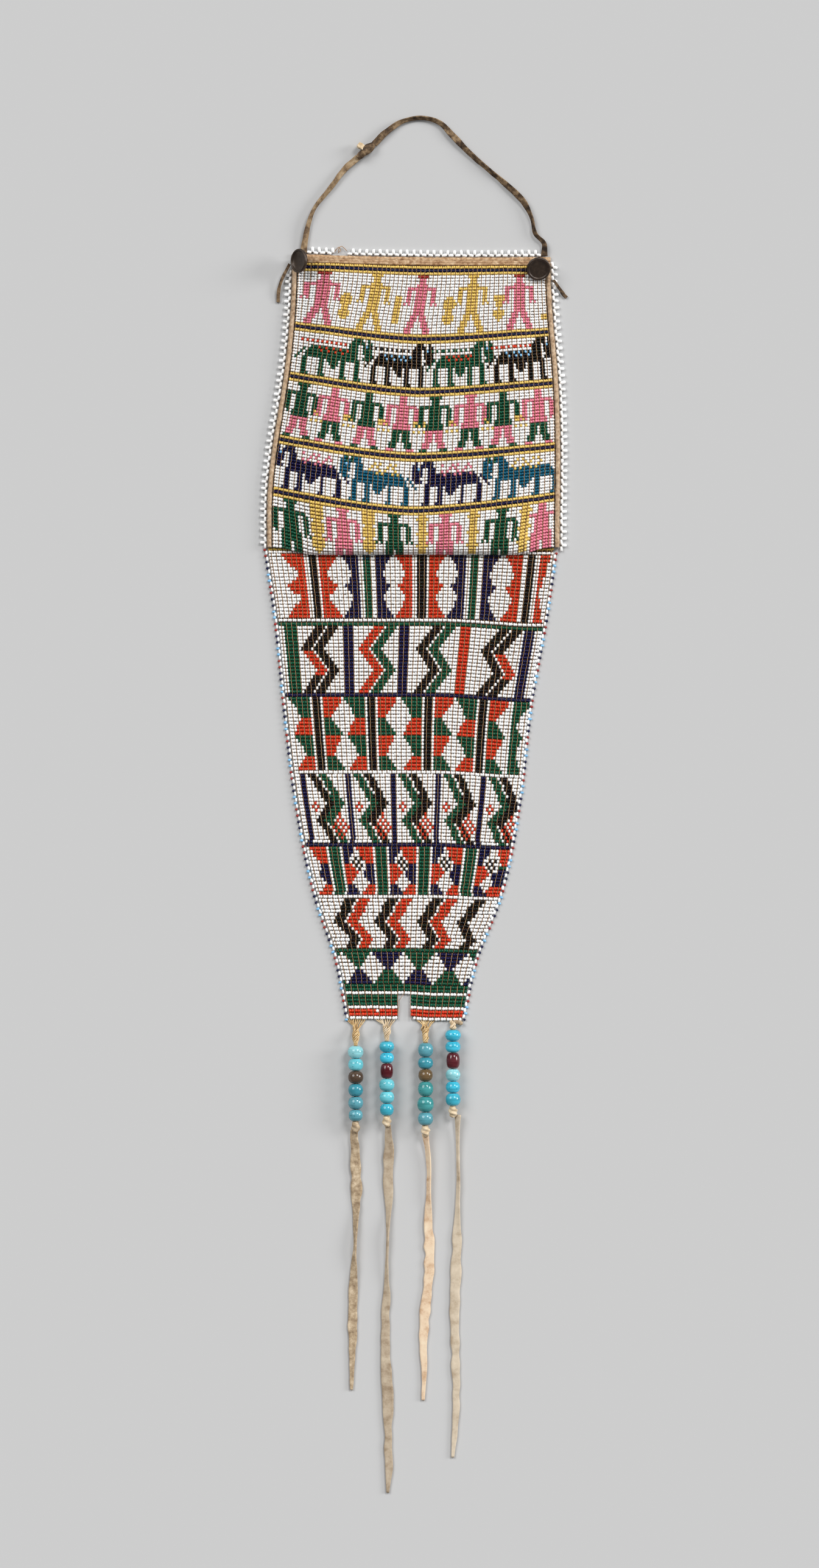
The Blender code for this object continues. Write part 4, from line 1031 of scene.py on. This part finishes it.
found = []
for name, (first, last, _) in BANDS.items():
    for row in range(first, last + 1):
        x, pitch, column = tail_row(row, name)
        notch_left, notch_right = notch_sides(tail_y[row])
        kept = (row < FIRST_TAB_ROW) | (x < notch_left - 0.6) | (x > notch_right + 0.6)
        colour = band_charts[name][row - first][column]
        found.append(np.stack([x, pitch, colour, np.full(len(x), row)])[:, kept])
tail_x, tail_pitch, tail_colour, tail_row_of = np.concatenate(found, axis=1)
tail_colour, tail_row_of = tail_colour.astype(int), tail_row_of.astype(int)


def tail_sag(x, row):
    """How far a row hangs down at the right side, and at the right tab of the foot."""
    left, right = tail_left[row], tail_right[row]
    u = (x - left) / (right - left)
    t = row / (TAIL_ROWS - 1)
    side = 3.6 * smoothstep((u - 0.6) / 0.4) * np.sin(math.pi * np.sqrt(t))
    return side + smoothstep((row - 112) / 15) * smoothstep((x - NOTCH_CENTRE_X) / 20)


bead_y = tail_y[tail_row_of] - tail_sag(tail_x, tail_row_of)
centres = np.stack([tail_x, bead_y, np.full_like(tail_x, TAIL_BEAD_Z)], axis=1)
row_pitch = np.abs(np.gradient(tail_y))[tail_row_of]
slope = tail_sag(tail_x + 0.5, tail_row_of) - tail_sag(tail_x - 0.5, tail_row_of)
along = unit(np.stack([np.ones_like(slope), -slope, np.zeros_like(slope)], axis=1))
upward = np.tile(UP, (len(centres), 1))
sideways = np.cross(upward, along)
for name, low, high, nodes in (("tail_beads_upper", 0, 41, ("tail",)), ("tail_beads_middle", 42, 85, ()),
                               ("tail_beads_lower", 86, 134, ())):
    pick = (tail_row_of >= low) & (tail_row_of <= high)
    add_beads(name, SEED_BEAD, centres[pick], [axis[pick] for axis in (along, sideways, upward)],
              tail_pitch[pick] * 0.9, np.clip(row_pitch[pick] * 1.05, 1.8, 2.4),
              PALETTE[tail_colour[pick]], 200 + low, stands_for=nodes, slot="tail_beads")

# %% The tail's weft sheet, painted near black as shade, and warp threads
def tail_sheet(x_share, row):
    """A flat sheet at mid depth between the beads."""
    y = np.interp(row, np.arange(TAIL_ROWS), tail_y)
    left, right = tail_span(y[:, 0])
    x = left[:, None] + 0.4 + x_share * (right - left - 0.8)[:, None]
    sag = tail_sag(x, np.clip(row.round().astype(int), 0, TAIL_ROWS - 1))
    return np.stack([x, y - sag, np.full_like(x, TAIL_SHEET_Z)], axis=-1)


def add_tail_sheet(name, rows, low_share, high_share, columns):
    """One part of the tail's sheet, from one share of its width to another."""
    share = np.linspace(low_share, high_share, columns)[None, :] + 0 * rows[:, None]
    top = tail_sheet(share, rows[:, None] + 0 * share)
    add_shell(name, top, 0.5, UP)


NOTCH_SHARES = (0.43, 0.565)  # where the notch starts and ends across the tail's foot
# The tail's sheets are painted near black as shade in the gaps between its beads.
add_tail_sheet("tail_weft_sheet", np.linspace(0, 127, 64), 0.0, 1.0, 14)
add_tail_sheet("left_tab_sheet", np.linspace(127, 134, 5), 0.0, NOTCH_SHARES[0], 6)
add_tail_sheet("right_tab_sheet", np.linspace(127, 134, 5), NOTCH_SHARES[1], 1.0, 6)


def tail_thread_paths(name):
    """Warp threads of one band, one between every two pairs of columns, read at every second
    row. A thread that meets an edge of the tail or a side of the notch follows it."""
    first, last, _ = BANDS[name]
    rows = np.unique(np.append(np.arange(first, last + 1, 2), last))
    counts = np.array([len(tail_row(row, name)[0]) for row in rows])
    left, right = tail_left[rows], tail_right[rows]
    number = np.arange(-(counts[0] // 2), counts[0] // 2 + 1)
    number = number[number % 2 == 0][:, None] - (counts[0] % 2) / 2
    x = (left + right) / 2 + number * (right - left) / counts
    x = np.clip(x, left + 0.3, right - 0.3)
    for k, row in enumerate(rows):
        if row >= FIRST_TAB_ROW:
            notch_left, notch_right = notch_sides(tail_y[row])
            inside = (x[:, k] > notch_left) & (x[:, k] < notch_right)
            x[inside, k] = np.where(x[inside, k] < NOTCH_CENTRE_X, notch_left, notch_right)
    y = tail_y[rows] - tail_sag(x, rows)
    y[:, 0] += 1.1
    y[:, -1] -= 1.1
    x = x + 0.1 * np.where(np.arange(len(rows)) % 2, 1.0, -1.0)
    return np.stack([x, y, np.full_like(x, TAIL_THREAD_Z)], axis=-1)


add_tubes("tail_warp_threads", [tail_thread_paths(name) for name in BANDS], WARP_RADIUS, 3, thread)

# %% [markdown]
# ## Hems and bindings
# Bast fibre is rolled over each lip of the mouth and down both sides, and sewn with slanting
# stitches. A roll is an oval section carried along a path, drawn in where each stitch crosses.


# %% Rolled fibre
HEM_WIDTH, HEM_THICKNESS = 3.2, 2.0
BINDING_WIDTH, BINDING_THICKNESS = 3.2, 4.4


def soft_noise(random, shape):
    """Random numbers on a grid, evened out twice with their neighbours."""
    grid = random.normal(0, 1, shape)
    for _ in range(2):
        grid = (grid + np.roll(grid, 1, 0) + np.roll(grid, -1, 0) + np.roll(grid, 1, 1)
                + np.roll(grid, -1, 1)) / 5
    return grid / grid.std()


def roll_rings(path, width, height, step=0.6, around=16, stitch=3.4, depth=0.1, rough=0.05, seed=5,
               furrow=0.0):
    """An oval roll along a path: its two half axes shrink by a slanting wave for the stitches and
    by a little noise for the loose fibre. A furrow parts its top into two ridges."""
    gone = travelled(path)
    count = max(8, int(gone[-1] / step))
    at = np.linspace(0, gone[-1], count)
    centre = smooth_through(gone, path, at)
    _, level, raised = level_frame(centre)
    angle = circle(around)[None, :]
    wave = np.abs(np.cos(math.pi * at[:, None] / stitch + 0.5 * angle)) ** 0.5
    size = 1 - depth + depth * wave + rough * soft_noise(np.random.default_rng(seed), (count, around))
    reach = (width / 2 * np.cos(angle) * size)[..., None] * level[:, None, :]
    parted = 1 - furrow * np.exp(-(np.cos(angle) / 0.24) ** 2)
    lift = (height / 2 * np.sin(angle) * parted * size)[..., None] * raised[:, None, :]
    rings = centre[:, None, :] + reach + lift
    rings[..., 2] = np.maximum(rings[..., 2], 0.02)
    return rings


def side_path(span, side, low, high, count, outwards):
    """Points down one side of a panel, from high to low, moved outwards square to it."""
    y = np.linspace(high, low, count)
    x = span(y)[side]
    sign = -1.0 if side == 0 else 1.0
    slope = np.gradient(x, y)
    length = np.sqrt(1 + slope**2)
    return np.stack([x + sign * outwards / length, y - sign * outwards * slope / length], axis=1)


def add_roll(name, node, path, width, height, seed, material=fibre, **shape):
    """Put a fibre roll in place of a node."""
    add_rings(name, roll_rings(path, width, height, seed=seed, **shape), material,
              stands_for=(node,), slot="fibre")


u = np.linspace(0.0, 1.0, 14)
hem_y = MOUTH_Y + lip_rise(u)
hem_left, hem_right = pouch_span(hem_y)
hem_reach = SEAT_GAP + BINDING_WIDTH
hem_x = hem_left - hem_reach + u * (hem_right - hem_left + 2 * hem_reach)
add_roll("back_lip_roll", "back_lip_hem", np.stack([
    hem_x, hem_y + SEAT_GAP + HEM_WIDTH / 2, np.full_like(u, HEM_THICKNESS / 2)], axis=1),
    HEM_WIDTH, HEM_THICKNESS, 51)
u = np.array([0.004, 0.05, 0.1, 0.16, 0.25, 0.36, 0.5, 0.64, 0.75, 0.84, 0.9, 0.95, 0.996])
hem_path = front_wall(u, np.zeros_like(u))
hem_path[:, 1] += SEAT_GAP + HEM_WIDTH / 2
hem_path[:, 2] = np.maximum(hem_path[:, 2], HEM_THICKNESS * 1.5 + SEAT_GAP + 0.1)
add_roll("front_lip_roll", "front_lip_hem", hem_path, HEM_WIDTH, HEM_THICKNESS, 52, stitch=4.2,
         furrow=0.5, around=22, depth=0.14)
for side, name in enumerate(("side_binding_left", "side_binding_right")):
    path = side_path(pouch_span, side, SEAM_Y, MOUTH_Y + lip_rise(side) - SEAT_GAP, 12,
                     SEAT_GAP + BINDING_WIDTH / 2)
    add_roll(f"{name}_roll", name, np.column_stack([path, np.full(len(path), BINDING_THICKNESS / 2)]),
             BINDING_WIDTH, BINDING_THICKNESS, 53 + side, binding_fibre, step=0.7, stitch=2.6, depth=0.16)
print("fibre rolls", 4)

# %% [markdown]
# ## Beads along the edges
# Bigger white beads are sewn round the pouch: one lies along the edge, the next stands out from
# it. Down the tail, white beads lie along the edge and small coloured ones stand between them in
# pairs of one colour. Two beads are lost at the mouth, where the broken thread still shows.

# %% Edge beads
EDGE_RINGS = ((-1.0, 0.5), (-0.72, 0.88), (0.0, 1.0), (0.72, 0.88), (1.0, 0.5))
EDGE_BEAD = barrel_template(np.arange(-157.5, 180, 45), EDGE_RINGS)
POUCH_EDGE_PITCH, TAIL_EDGE_PITCH = 4.4, 8.2
TOP_EDGE_START_X, TOP_EDGE_END_X = -69.5, 81.5
LOST_BEADS_X = (-52.5, -45.5)
# Length and width of a bead that lies along the edge and of one that stands out, and how far
# outside the edge each of them sits.
LYING, STANDING, TAIL_LYING = (3.1, 2.15), (3.3, 2.3), (2.7, 1.75)
LYING_OUT, STANDING_OUT = 1.15, 3.05
TAIL_LYING_OUT, TAIL_STANDING_OUT = 1.2, 2.15


def edge_places(path, shares, distance):
    """Places beside a path: shares of its steps along it, and a distance square to it. Returns
    the places, the directions along it and those that point out."""
    shares = np.asarray(shares, float)
    index = np.arange(len(path))
    place = np.stack([np.interp(shares, index, path[:, k]) for k in (0, 1)], axis=1)
    along = unit(np.gradient(path, axis=0))
    along = unit(np.stack([np.interp(shares, index, along[:, k]) for k in (0, 1)], axis=1))
    out = np.stack([along[:, 1], -along[:, 0]], axis=1)
    return place + out * np.asarray(distance).reshape(-1, 1), along, out


def add_edge_beads(name, node, runs, z, seed):
    """Sew beads along an edge: runs of (places, directions of their holes, lengths, widths, colours)."""
    random = np.random.default_rng(seed)
    centres = np.concatenate([np.column_stack([place, np.full(len(place), z)]) for place, *_ in runs])
    holes = np.concatenate([np.column_stack([hole, np.zeros(len(hole))]) for _, hole, *_ in runs])
    turn = random.normal(0, 0.13, (len(holes), 1))
    upward = np.tile(UP, (len(holes), 1))
    holes = unit(holes + turn * np.cross(upward, holes))
    lengths = np.concatenate([np.full(len(place), length) for place, _, length, _, _ in runs])
    widths = np.concatenate([np.full(len(place), width) for place, _, _, width, _ in runs])
    colours = np.concatenate([PALETTE[np.asarray(colour)] for *_, colour in runs])
    add_beads(name, EDGE_BEAD, centres, (holes, np.cross(upward, holes), upward), lengths, widths, colours,
              seed, wobble=0.06, stands_for=(node,), slot="white_beads")


count = round((TOP_EDGE_END_X - TOP_EDGE_START_X) / POUCH_EDGE_PITCH)
x = np.linspace(TOP_EDGE_START_X, TOP_EDGE_END_X, count + 1)
left, right = pouch_span(np.full_like(x, MOUTH_Y))
top_y = MOUTH_Y + lip_rise((x - left) / (right - left)) + SEAT_GAP + HEM_WIDTH
top_path = np.stack([x, top_y], axis=1)[::-1]


def unlost(shares, margin):
    """The shares of the top path's steps that aren't among the lost beads."""
    at_x = np.interp(shares, np.arange(len(top_path)), top_path[:, 0])
    return shares[(at_x < LOST_BEADS_X[0] - margin) | (at_x > LOST_BEADS_X[1] + margin)]


def white_edge(path, lying, standing):
    """Lying beads along a path with standing ones over the gaps between them."""
    low, along, _ = edge_places(path, lying, LYING_OUT)
    high, _, out = edge_places(path, standing, STANDING_OUT)
    return ((low, along, *LYING, np.full(len(low), WHITE)),
            (high, out, *STANDING, np.full(len(high), WHITE)))


runs = white_edge(top_path, unlost(np.arange(count + 1.0), 0.0), unlost(np.arange(count) + 0.5, 0.5))
add_edge_beads("top_edge_beads", "top_bead_edging", runs, 1.14, 61)
for side, (name, node) in enumerate((("left_edge_beads", "left_bead_edging"),
                                     ("right_edge_beads", "right_bead_edging"))):
    low, high = ((SEAM_Y + 1.0, MOUTH_Y - 6.0), (SEAM_Y - 1.0, MOUTH_Y - 1.0))[side]
    count = round((high - low) / POUCH_EDGE_PITCH)
    path = side_path(pouch_span, side, low, high, count + 1, SEAT_GAP + BINDING_WIDTH)
    path = path[::-1] if side else path
    runs = white_edge(path, np.arange(count + 1.0), np.arange(count) + 0.5)
    add_edge_beads(name, node, runs, 1.16, 62 + side)
PAIR_COLOURS = (CRIMSON, CRIMSON, NAVY, NAVY, SKY, SKY)
for side, (name, node) in enumerate((("left_tail_edge_beads", "left_tail_edging"),
                                     ("right_tail_edge_beads", "right_tail_edging"))):
    count = 2 * round(TAIL_LENGTH / TAIL_EDGE_PITCH)
    path = side_path(tail_span, side, FOOT_Y + 0.5, TAIL_TOP_Y - 2.5 * side - 1.0, count + 1, 0.0)
    path = path[::-1] if side else path
    white, along, _ = edge_places(path, np.arange(count) + 0.5, TAIL_LYING_OUT)
    spots, _, out = edge_places(path, np.arange(count + 1), TAIL_STANDING_OUT)
    order = np.array(PAIR_COLOURS)[(np.arange(count + 1) + 3 * side) % 6]
    runs = [(white, along, *TAIL_LYING, np.full(count, WHITE))]
    runs += [(spots[order == colour], out[order == colour], 1.7 if colour != SKY else 2.1, 1.75,
              np.full(int((order == colour).sum()), colour)) for colour in (CRIMSON, NAVY, SKY)]
    add_edge_beads(name, node, runs, 1.0, 71 + side)

# %% Broken threads at the mouth
LOOSE_THREADS = (
    ((-53.2, 287.2, 1.2), (-51.5, 289.2, 1.8), (-49.8, 290.6, 1.6), (-48.9, 288.4, 1.0),
     (-50.4, 286.9, 1.2)),
    ((-50.2, 287.0, 1.4), (-49.9, 289.6, 1.9), (-48.2, 291.2, 1.5), (-46.0, 289.6, 1.1),
     (-44.9, 288.2, 1.0)),
)
loose = [smooth_through(np.linspace(0, 1, 5), run, np.linspace(0, 1, 24)) for run in LOOSE_THREADS]
add_tubes("broken_edge_threads", [loose], 0.22, 5, thread)

# %% [markdown]
# ## The buttons
# Each corner of the mouth has a cast metal button. The left one leans over the edge and its face
# is hollow, the right one lies flatter and has a sunken disc. A button is a profile turned
# round its middle, with relief pressed into its flank.

# %% Buttons
BUTTONS = {
    "button_left": (
        ((1.8, -2.0), (1.8, -0.2), (4.2, 0.0), (6.5, 0.4), (7.6, 1.3), (7.9, 2.3), (7.8, 3.0), (7.45, 3.38),
         (6.95, 3.4), (6.6, 3.1), (6.3, 2.5), (5.2, 1.95), (3.2, 1.65), (0.25, 1.55)),
        (-74.1, 280.6, 9.5), 50, 180, 0.0),
    "button_right": (
        ((1.8, -2.0), (1.8, -0.2), (4.2, 0.0), (6.5, 0.4), (7.6, 1.3), (7.9, 2.2), (7.85, 2.9), (7.4, 3.35),
         (6.8, 3.4), (6.35, 3.2), (6.1, 2.85), (5.6, 2.75), (3.0, 2.72), (0.25, 2.7)),
        (80.8, 276.4, 8.2), 27, -80, 0.012),
}
bronze = blotched("dark_bronze", ((44, 34, 27), (58, 46, 37), (78, 64, 52)), 400.0, 2.0, 0.4, 1800.0, 0.15,
                  0.0001, metallic=0.35, specular=0.5)


def tip_matrix(lean, turn):
    """Turn about y by lean, then about z by turn, both in degrees."""
    lean, turn = math.radians(lean), math.radians(turn)
    about_y = np.array([[math.cos(lean), 0, math.sin(lean)], [0, 1, 0],
                        [-math.sin(lean), 0, math.cos(lean)]])
    about_z = np.array([[math.cos(turn), -math.sin(turn), 0], [math.sin(turn), math.cos(turn), 0],
                        [0, 0, 1]])
    return about_z @ about_y


LEAVES, NOTCHES = 21, 42  # of the relief round a flank, and of a milled rim
RELIEF_DEPTH = 0.16
for node, (profile, centre, lean, turn, milling) in BUTTONS.items():
    gone = travelled(np.array(profile))
    radius, height = smooth_through(gone, profile, np.linspace(0, gone[-1], 56)).T[..., None]
    angle = circle(84)
    flank = np.exp(-((height - 1.6) / 0.8) ** 2) * (radius > 6.4)
    relief = RELIEF_DEPTH * flank * (np.cos(LEAVES * angle) * np.cos(3.2 * height))
    rim = (radius > 7.2) * (height > 1.9)
    reach = radius + relief + milling * radius * rim * np.cos(NOTCHES * angle)
    rings = np.stack([reach * np.cos(angle), reach * np.sin(angle), height + 0 * reach], axis=-1)
    rings = rings @ tip_matrix(lean, turn).T + np.array(centre)
    add_rings(f"{node}_cast", rings, bronze, stands_for=(node,), slot="bronze")
print("buttons", list(BUTTONS))

# %% [markdown]
# ## The strung beads
# Each strand has six large glass beads on a thong. They are wound glass, so they are round and
# a little uneven, with faint streaks. Each one turns on its thong and rides on its own body.
# A bead is a closed profile turned round the thong: round outside, a bore inside.

# %% Strands
GLASS = {
    "milky_turquoise": (140, 205, 212), "light_turquoise": (100, 188, 200), "turquoise": (58, 168, 190),
    "sky_turquoise": (60, 184, 212), "blue_teal": (84, 150, 163), "deep_teal": (54, 138, 154),
    "green_teal": (62, 145, 146), "brown": (80, 62, 48), "olive": (104, 82, 52), "dark_red": (80, 12, 24),
}
# Each strand: its x, how far below the tail its first bead sits, the middle and the width of its
# threads at the tail, and its beads as diameter, length, slot and glass, from the top down.
STRANDS = (
    (-38.8, 16.9, -38.8, 12.0, (
        (10.2, 8.0, "pale_turquoise", "milky_turquoise"), (10.0, 7.9, "turquoise", "light_turquoise"),
        (10.0, 8.1, "brown", "brown"), (9.8, 8.1, "teal", "deep_teal"),
        (10.0, 8.1, "teal", "blue_teal"), (9.4, 7.6, "teal", "blue_teal"))),
    (-18.4, 13.8, -19.5, 13.0, (
        (9.8, 7.1, "turquoise", "turquoise"), (9.4, 7.0, "turquoise", "sky_turquoise"),
        (8.4, 9.6, "dark_red", "dark_red"), (10.2, 8.0, "pale_turquoise", "light_turquoise"),
        (9.6, 7.7, "pale_turquoise", "light_turquoise"), (9.2, 7.9, "turquoise", "turquoise"))),
    (7.0, 14.9, 7.0, 13.0, (
        (10.0, 9.1, "teal", "blue_teal"), (10.0, 7.6, "teal", "deep_teal"),
        (9.6, 7.8, "olive", "olive"), (10.0, 9.5, "teal", "green_teal"),
        (11.0, 10.0, "teal", "green_teal"), (10.0, 8.5, "teal", "blue_teal"))),
    (25.0, 6.3, 25.2, 9.5, (
        (10.2, 7.3, "turquoise", "sky_turquoise"), (10.0, 7.3, "turquoise", "sky_turquoise"),
        (8.9, 10.2, "dark_red", "dark_red"), (9.6, 7.9, "pale_turquoise", "milky_turquoise"),
        (9.6, 7.4, "turquoise", "sky_turquoise"), (9.8, 8.3, "turquoise", "turquoise"))),
)
BORE_RADIUS = 1.45
CORE_RADIUS = 1.1


def streaked_glass(name, colour):
    """Wound glass: streaks round the bead, drawn by a noise squeezed along its thong."""
    material, tree, shader = new_material(name, 0.16, specular=0.5)
    base = srgb(*colour)
    place = add_node(tree, "ShaderNodeTexCoord")
    squeeze = add_node(tree, "ShaderNodeMapping", {"Scale": (60.0, 520.0, 60.0)})
    noise = add_node(tree, "ShaderNodeTexNoise", {"Scale": 1.0, "Detail": 3.0})
    ramp = add_node(tree, "ShaderNodeValToRGB")
    stops = ramp.color_ramp.elements
    stops[0].position, stops[1].position = 0.34, 0.68
    stops[0].color = (*(base * 0.78), 1.0)
    stops[1].color = (*np.clip(base * 1.15 + 0.015, 0, 1), 1.0)
    # Small dark specks over the glass, at a third of its colour.
    specks = add_node(tree, "ShaderNodeTexVoronoi", {"Scale": 420.0})
    dark_speck_mask = add_node(tree, "ShaderNodeMapRange", {"From Min": 0.10, "From Max": 0.16})
    mix = add_node(tree, "ShaderNodeMix", data_type="RGBA")
    mix.inputs["A"].default_value = (*(base * 0.35), 1.0)
    for source, output, target, socket in (
            (place, "Object", squeeze, "Vector"), (squeeze, "Vector", noise, "Vector"),
            (noise, "Fac", ramp, "Fac"), (place, "Object", specks, "Vector"),
            (specks, "Distance", dark_speck_mask, "Value"), (dark_speck_mask, "Result", mix, "Factor"),
            (ramp, "Color", mix, "B"), (mix, "Result", shader, "Base Color")):
        tree.links.new(source.outputs[output], target.inputs[socket])
    return material


def large_bead(centre, diameter, length, seed):
    """A wound bead about the y axis: a super ellipse outside, a straight bore inside, and a little
    unevenness round it."""
    random = np.random.default_rng(seed)
    t = np.linspace(-math.pi / 2, math.pi / 2, 17)
    power = 0.86 if length < diameter else 0.6
    outside = BORE_RADIUS + (diameter / 2 - BORE_RADIUS) * np.cos(t) ** power
    along = length / 2 * np.sin(t)
    radius = np.concatenate([outside, [BORE_RADIUS, BORE_RADIUS]])
    place = np.concatenate([along, [length * 0.3, -length * 0.3]])
    angle = circle(28)
    lumps = 1 + 0.012 * np.cos(2 * angle + random.uniform(0, 6))
    lumps += 0.008 * np.cos(3 * angle + random.uniform(0, 6))
    reach = radius[:, None] * np.where((radius > BORE_RADIUS + 0.1)[:, None], lumps, 1.0)
    return np.stack([centre[0] + reach * np.cos(angle), centre[1] + place[:, None] + 0 * reach,
                     centre[2] - reach * np.sin(angle)], axis=-1)


strand_facts = []
glasses = {name: streaked_glass(name, colour) for name, colour in GLASS.items()}
for number, (x, gathered, threads_x, threads_width, beads) in enumerate(STRANDS, 1):
    axis_z = max(bead[0] for bead in beads) / 2
    y = FOOT_Y - gathered
    for k, (diameter, length, slot, glass) in enumerate(beads, 1):
        rings = large_bead((x, y - length / 2, axis_z), diameter, length, 10 * number + k)
        add_rings(f"large_bead_{number}_{k}", rings, glasses[glass], closed=True,
                  body=f"bead_{number}_{k}", stands_for=(f"fringe_bead_{number}_{k}",), slot=slot)
        y -= length + SEAT_GAP
    strand_facts.append((x, FOOT_Y - gathered, y, axis_z, threads_x, threads_width))
print("large beads", sum(len(beads) for *_, beads in STRANDS))

# %% [markdown]
# ## Thongs, knots and gathered threads
# The warp threads of each half tab come together under the tail, twist into a cord and end at the
# first bead. A thong runs on through the beads to a knot, from which the streamer hangs.

# %% Thongs and knots
KNOT_LENGTH, KNOT_RADIUS = 5.4, 2.75
KNOT_FINISH = (grey_hide, cream_cord, cream_cord, cream_cord)
for number, (x, top, knot_top, axis_z, _, _) in enumerate(strand_facts, 1):
    path = np.array([(x, y, axis_z) for y in (top, (top + knot_top) / 2, knot_top - 1.0)])
    core = roll_rings(path, 2 * CORE_RADIUS, 2 * CORE_RADIUS, step=0.8, around=10, stitch=2.2,
                      depth=0.15, rough=0.02, seed=80 + number)
    knot = knot_surface((x - 0.4, knot_top + 0.4, axis_z),
                        (x + 0.3, knot_top - KNOT_LENGTH - 1.8, axis_z - 1.0),
                        KNOT_RADIUS, turns=1.2 + 0.3 * number, seed=number)
    faces = ring_faces(*core.shape[:2])
    faces += ring_faces(*knot.shape[:2], base=core.shape[0] * core.shape[1])
    add_piece(f"strand_thong_{number}", np.concatenate([core.reshape(-1, 3), knot.reshape(-1, 3)]), faces,
              KNOT_FINISH[number - 1], stands_for=(f"fringe_thong_{number}",), slot="hide")

# %% Gathered warp threads
THREADS = 9


def gathered_threads(x, top, axis_z, threads_x, threads_width, seed, turns):
    """Paths of the threads: straight out of the tab in a fan, then a helix round the cord."""
    random = np.random.default_rng(seed)
    share = np.linspace(0, 1, 44)[None, :]
    number = np.arange(THREADS)[:, None]
    start_x = threads_x + (number / (THREADS - 1) - 0.5) * threads_width
    start_y, end_y = FOOT_Y + 1.2, top + 0.2
    y = start_y + (end_y - start_y) * share
    close = smoothstep(share / 0.5)
    phase = 2 * math.pi * number / THREADS + turns * 2 * math.pi * np.maximum(share - 0.25, 0)
    radius = 1.75 * (1 + 0.22 * np.sin(11 * share + seed)) * (1 - 0.45 * smoothstep((share - 0.8) / 0.2))
    wobble = random.normal(0, 0.25, (THREADS, 1)) * np.sin(math.pi * share)
    lift = 0.9 + (axis_z - 0.9) * smoothstep((share - 0.1) / 0.85)
    px = start_x * (1 - close) + (x + radius * np.cos(phase)) * close + wobble
    pz = lift + close * radius * 0.9 * np.sin(phase)
    return np.stack([px, y + 0 * px, np.maximum(pz, 0.6)], axis=-1)


CORD_TURNS = (1.6, 1.4, 1.8, 0.8)
CORD_FINISH = (gold_cord, cream_cord, gold_cord, cream_cord)
for number, (x, top, _, axis_z, threads_x, threads_width) in enumerate(strand_facts, 1):
    paths = gathered_threads(x, top, axis_z, threads_x, threads_width, number, CORD_TURNS[number - 1])
    add_tubes(f"gathered_threads_{number}", [paths], 0.4, 6, CORD_FINISH[number - 1],
              stands_for=(f"warp_threads_{number}",), slot="fibre")
side_knot = knot_surface((25.6, FOOT_Y - 0.9, 2.0), (31.4, FOOT_Y - 2.4, 2.2), 1.6, turns=1.2, seed=9)
add_rings("tab_side_knot", side_knot, grey_hide)
print("gathered threads", THREADS, "a strand")

# %% [markdown]
# ## Floor and light
# The bag lies on a plain pale table under soft light from the upper right, so its shadow falls
# to the lower left. The floor's own grey gives the background of the photo.

# %% Floor and light
floor_mesh = bpy.data.meshes.new("table")
floor_mesh.from_pydata([(-8, -8, 0), (8, -8, 0), (8, 8, 0), (-8, 8, 0)], [], [(0, 1, 2, 3)])
floor_material, _, floor_shader = new_material("pale_table", 0.9, specular=0.1)
floor_shader.inputs["Base Color"].default_value = (*srgb(190, 190, 190), 1.0)
floor_mesh.materials.append(floor_material)
floor = bpy.data.objects.new("table", floor_mesh)
bpy.context.scene.collection.objects.link(floor)

world = bpy.data.worlds.new("studio_air")
world.use_nodes = True
world.node_tree.nodes["Background"].inputs["Color"].default_value = (1.0, 1.0, 1.0, 1.0)
world.node_tree.nodes["Background"].inputs["Strength"].default_value = 0.22
bpy.context.scene.world = world


def add_sun(name, strength, spread, lean, heading):
    """A soft lamp far away: lean from straight up, towards a heading in degrees from +X."""
    data = bpy.data.lights.new(name, "SUN")
    data.energy = strength
    data.angle = math.radians(spread)
    lamp = bpy.data.objects.new(name, data)
    lamp.rotation_euler = (0.0, math.radians(lean), math.radians(heading))
    bpy.context.scene.collection.objects.link(lamp)


add_sun("key_light", 1.75, 22.0, 46.0, 50.0)
add_sun("low_side_light", 1.75, 20.0, 70.0, 12.0)
add_sun("fill_light", 1.75, 34.0, 46.0, 140.0)
bpy.context.scene.view_settings.view_transform = "Standard"

# %% Count what was made
cad_nodes = list(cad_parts.values())
made = [o for o in bpy.data.objects if o.type == "MESH" and o not in cad_nodes and o is not floor]
sizes = {o.name: sum(len(p.vertices) - 2 for p in o.data.polygons) for o in made}
print("triangles made", sum(sizes.values()), "most", sorted(sizes.items(), key=lambda item: -item[1])[:6])
